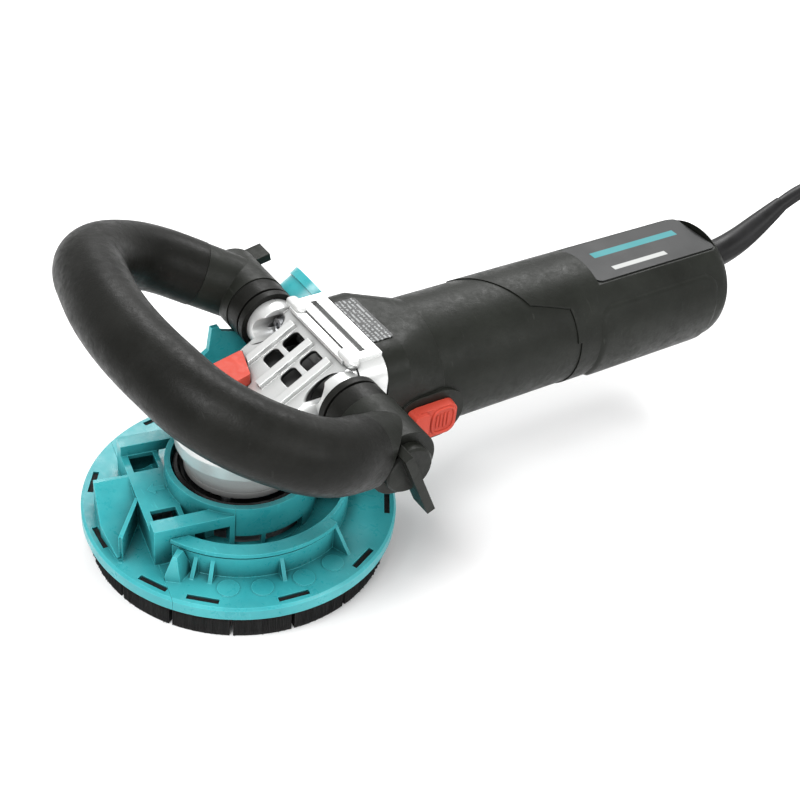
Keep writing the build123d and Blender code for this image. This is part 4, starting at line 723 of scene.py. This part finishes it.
teal = moulded(
    "teal_plastic", (0.022, 0.30, 0.335), (0.055, 0.44, 0.47), 0.33, 900, 0.03, coat=0.12, shine=0.42,
    shade=0.9, wear_and_highlight=0.5,
)
charcoal = moulded(
    "charcoal_plastic", (0.0088, 0.0098, 0.0076), (0.0175, 0.0192, 0.0158), 0.42, 1500, 0.1, shine=0.165,
)
soft_black = moulded(
    "grip_rubber", (0.0064, 0.0066, 0.0056), (0.0135, 0.0137, 0.0122), 0.40, 1100, 0.12, shine=0.115,
)
gloss_black = moulded(
    "gloss_black", (0.006, 0.006, 0.006), (0.011, 0.011, 0.011), 0.22, 1500, 0.02, coat=0.3, shine=0.3,
)
coral = moulded("coral_plastic", (0.47, 0.05, 0.03), (0.56, 0.075, 0.048), 0.46, 1300, 0.04, shine=0.16)
silver = painted_cast("silver_alloy")
silver_with_vent_shade = painted_cast("silver_alloy_vent_shade", vent_shade=True)
steel = metal("machined_steel", (0.58, 0.58, 0.59), 0.28)
screw_steel = metal("screw_steel", (0.50, 0.51, 0.53), 0.30)
rough_metal = metal("sintered_metal", (0.30, 0.28, 0.26), 0.62, pitted=0.8)
laminated = metal("lamination_steel", (0.27, 0.28, 0.31), 0.45, brushed=(40, 1, 1))
copper = metal("copper", (0.72, 0.34, 0.18), 0.34, brushed=(1, 30, 30))
bronze = metal("bronze", (0.60, 0.44, 0.22), 0.38)
carbon = moulded("carbon", (0.03, 0.03, 0.032), (0.06, 0.06, 0.06), 0.55)


def painted_wheel():
    """Grey paint on the cup wheel, scuffed pale in patches."""
    made = Recipe("wheel_paint", (0.36, 0.37, 0.38), 0.45, 0.2)
    made.rounded(0.4 * MM)
    scuff = made.noise(90, 8, 0.7, distortion=1.2)
    tint = made.mix(made.spread(scuff, 0.55, 0.62, 0, 1), (0.33, 0.34, 0.36), (0.52, 0.51, 0.49))
    made.bump(made.noise(700, 4), 0.25, 0.08 * MM)
    return made.done(tint, made.spread(scuff, 0.3, 0.7, 0.38, 0.6))


def bristles():
    """Dense upright bristles: fine vertical ribs, in paler and darker clumps."""
    made = Recipe("bristle", (0.007, 0.007, 0.007), 0.7)
    fibre = made.noise(1.0, 3, 0.7, made.mapped((1500, 1500, 60)))
    clump = made.noise(1.0, 3, 0.6, made.mapped((240, 240, 12)))
    tint = made.mix(made.spread(fibre, 0.35, 0.7, 0, 1), (0.003, 0.003, 0.003), (0.016, 0.016, 0.016))
    tint = made.mix(made.spread(clump, 0.5, 0.8, 0, 0.45), tint, (0.028, 0.028, 0.028))
    made.bump(fibre, 0.9, 0.5 * MM)
    made.bump(clump, 0.5, 0.8 * MM)
    return made.done(tint, Specular_IOR_Level=0.25)


def lead_rubber():
    """Matt black rubber, slightly uneven in tone and gloss."""
    made = Recipe("lead_rubber", (0.009, 0.009, 0.009), 0.42)
    drift = made.noise(60, 5, 0.6)
    tint = made.mix(made.spread(drift, 0.35, 0.75, 0, 1), (0.006, 0.006, 0.006), (0.014, 0.014, 0.015))
    made.bump(made.noise(900, 3), 0.12, 0.05 * MM)
    return made.done(tint, made.spread(drift, 0.3, 0.7, 0.34, 0.52), Specular_IOR_Level=0.25)


wheel_paint = painted_wheel()
bristle = bristles()
cable_rubber = lead_rubber()

# The plate's rows, across X.
ROW_PITCH = 2.4
ROW_GAP_SHARE = 0.55
DASH_LEVEL = 0.45


def data_plate():
    """Dark film with rows of plain pale dashes in place of any lettering."""
    made = Recipe("rating_film", (0.05, 0.05, 0.052), 0.38)
    column = made.math("FRACT", made.math("MULTIPLY", made.split().outputs[0], 1 / (ROW_PITCH * MM)))
    line = made.math("GREATER_THAN", column, ROW_GAP_SHARE)
    dash = made.math("GREATER_THAN", made.noise(1.0, 0, 0.5, made.mapped((400, 900, 1))), DASH_LEVEL)
    inside = made.math("MULTIPLY", line, dash)
    tint = made.mix(inside, (0.016, 0.017, 0.017), (0.24, 0.25, 0.25))
    made.bump(made.noise(1200, 3), 0.08, 0.02 * MM)
    return made.done(tint, made.spread(made.noise(60, 4), 0.3, 0.7, 0.34, 0.46), Specular_IOR_Level=0.3)


label_film = data_plate()

# Each bar's span along X and along Y.
TEAL_BAR = ((plate_low[0] + 14, plate_high[0] - 12), (2.5, 8))
PALE_BAR = ((plate_low[0] + 17, plate_high[0] - 33), (-12, -8))


def pad_plate():
    """Satin film with two plain printed bars, one teal and one pale."""
    made = Recipe("pad_film", (0.014, 0.015, 0.015), 0.46)
    made.rounded(0.3 * MM)
    made.bump(made.noise(1300, 3), 0.1, 0.03 * MM)
    drift = made.noise(50, 4)
    tint = made.mix(made.spread(drift, 0.3, 0.7, 0, 1), (0.012, 0.013, 0.013), (0.020, 0.021, 0.021))
    place = made.split()
    tint = made.mix(stripe(made, place, *TEAL_BAR), tint, (0.022, 0.22, 0.24))
    tint = made.mix(stripe(made, place, *PALE_BAR), tint, (0.42, 0.43, 0.42))
    return made.done(tint, made.spread(drift, 0.3, 0.7, 0.38, 0.52), Specular_IOR_Level=0.28)


pad_film = pad_plate()

# Material by slot, then the nodes that have their own, then the pieces that this script adds.
FINISHES = {
    "machined_steel": steel, "screw_steel": screw_steel, "wheel_paint": wheel_paint,
    "sintered_metal": rough_metal, "lamination_steel": laminated, "copper": copper,
    "bronze": bronze, "charcoal_plastic": charcoal, "gloss_black": gloss_black,
    "coral_plastic": coral, "teal_plastic": teal, "black_rubber": soft_black,
    "bristle": bristle, "silver_alloy": silver, "grey_label": pad_film, "carbon": carbon,
}
SPECIAL = {
    "gear_housing": silver_with_vent_shade, "rating_label": label_film, "strain_relief": cable_rubber,
    "plug": cable_rubber,
}
ADDED = (
    ([lead, boot], cable_rubber), (panels, charcoal), (switch_parts, coral), (strand_pieces, bristle),
    ([tabs], silver), ([spring], steel),
)


def paint(piece, material):
    """Gives every slot of a piece one material."""
    if not piece.material_slots:
        piece.data.materials.append(material)
    for place in piece.material_slots:
        place.material = material


for entry in frame["record"]["subparts"]:
    node = frame["nodes"][entry["node"]]
    paint(node, SPECIAL.get(entry["node"], FINISHES[entry["material_slot"]]))
for pieces, material in ADDED:
    for piece in pieces:
        paint(piece, material)

# ------------------------------------------------------------ floor and light
FLOOR_SIZE = 40.0
# Just under the part, so that the two never share a plane.
FLOOR_Z = -0.0002
floor_mesh = bpy.data.meshes.new("floor")
half = FLOOR_SIZE / 2
floor_mesh.from_pydata(
    [(x, y, FLOOR_Z) for x, y in ((-half, -half), (half, -half), (half, half), (-half, half))],
    [], [(0, 1, 2, 3)],
)
floor = bpy.data.objects.new("floor", floor_mesh)
bpy.context.scene.collection.objects.link(floor)
floor_look = Recipe("floor", (0.93, 0.93, 0.93), 0.5)
floor_tint = floor_look.mix(floor_look.noise(3, 2), (0.93, 0.93, 0.93), (0.95, 0.95, 0.95))
paint(floor, floor_look.done(floor_tint, Specular_IOR_Level=0.25))

bpy.context.scene.view_settings.view_transform = "Standard"
bpy.context.scene.view_settings.look = "None"

SKY_STRENGTH = 0.62
world = bpy.data.worlds.new("studio")
bpy.context.scene.world = world
world.use_nodes = True
backdrop = world.node_tree.nodes["Background"]
backdrop.inputs["Color"].default_value = (1, 1, 1, 1)
backdrop.inputs["Strength"].default_value = SKY_STRENGTH

# Name, place, what it is aimed at, width, height and power in watts.
SOFTBOXES = (
    ("key", (-0.55, -0.30, 1.20), (0.02, 0, 0.05), 0.6, 0.4, 14),
    ("rear", (0.75, 0.75, 0.95), (0.12, 0, 0.06), 1.1, 0.35, 13),
    ("side", (0.55, -1.2, 0.75), (0.15, 0, 0.06), 0.9, 0.5, 6),
)


def softbox(name, place, target, width, height, watts):
    """A rectangular light that faces its target."""
    light = bpy.data.lights.new(name, "AREA")
    light.shape = "RECTANGLE"
    light.size = width
    light.size_y = height
    light.energy = watts
    holder = bpy.data.objects.new(name, light)
    bpy.context.scene.collection.objects.link(holder)
    aim = Vector(target) - Vector(place)
    holder.matrix_world = Matrix.Translation(place) @ aim.to_track_quat("-Z", "Y").to_matrix().to_4x4()


for box in SOFTBOXES:
    softbox(*box)

bpy.context.view_layer.update()
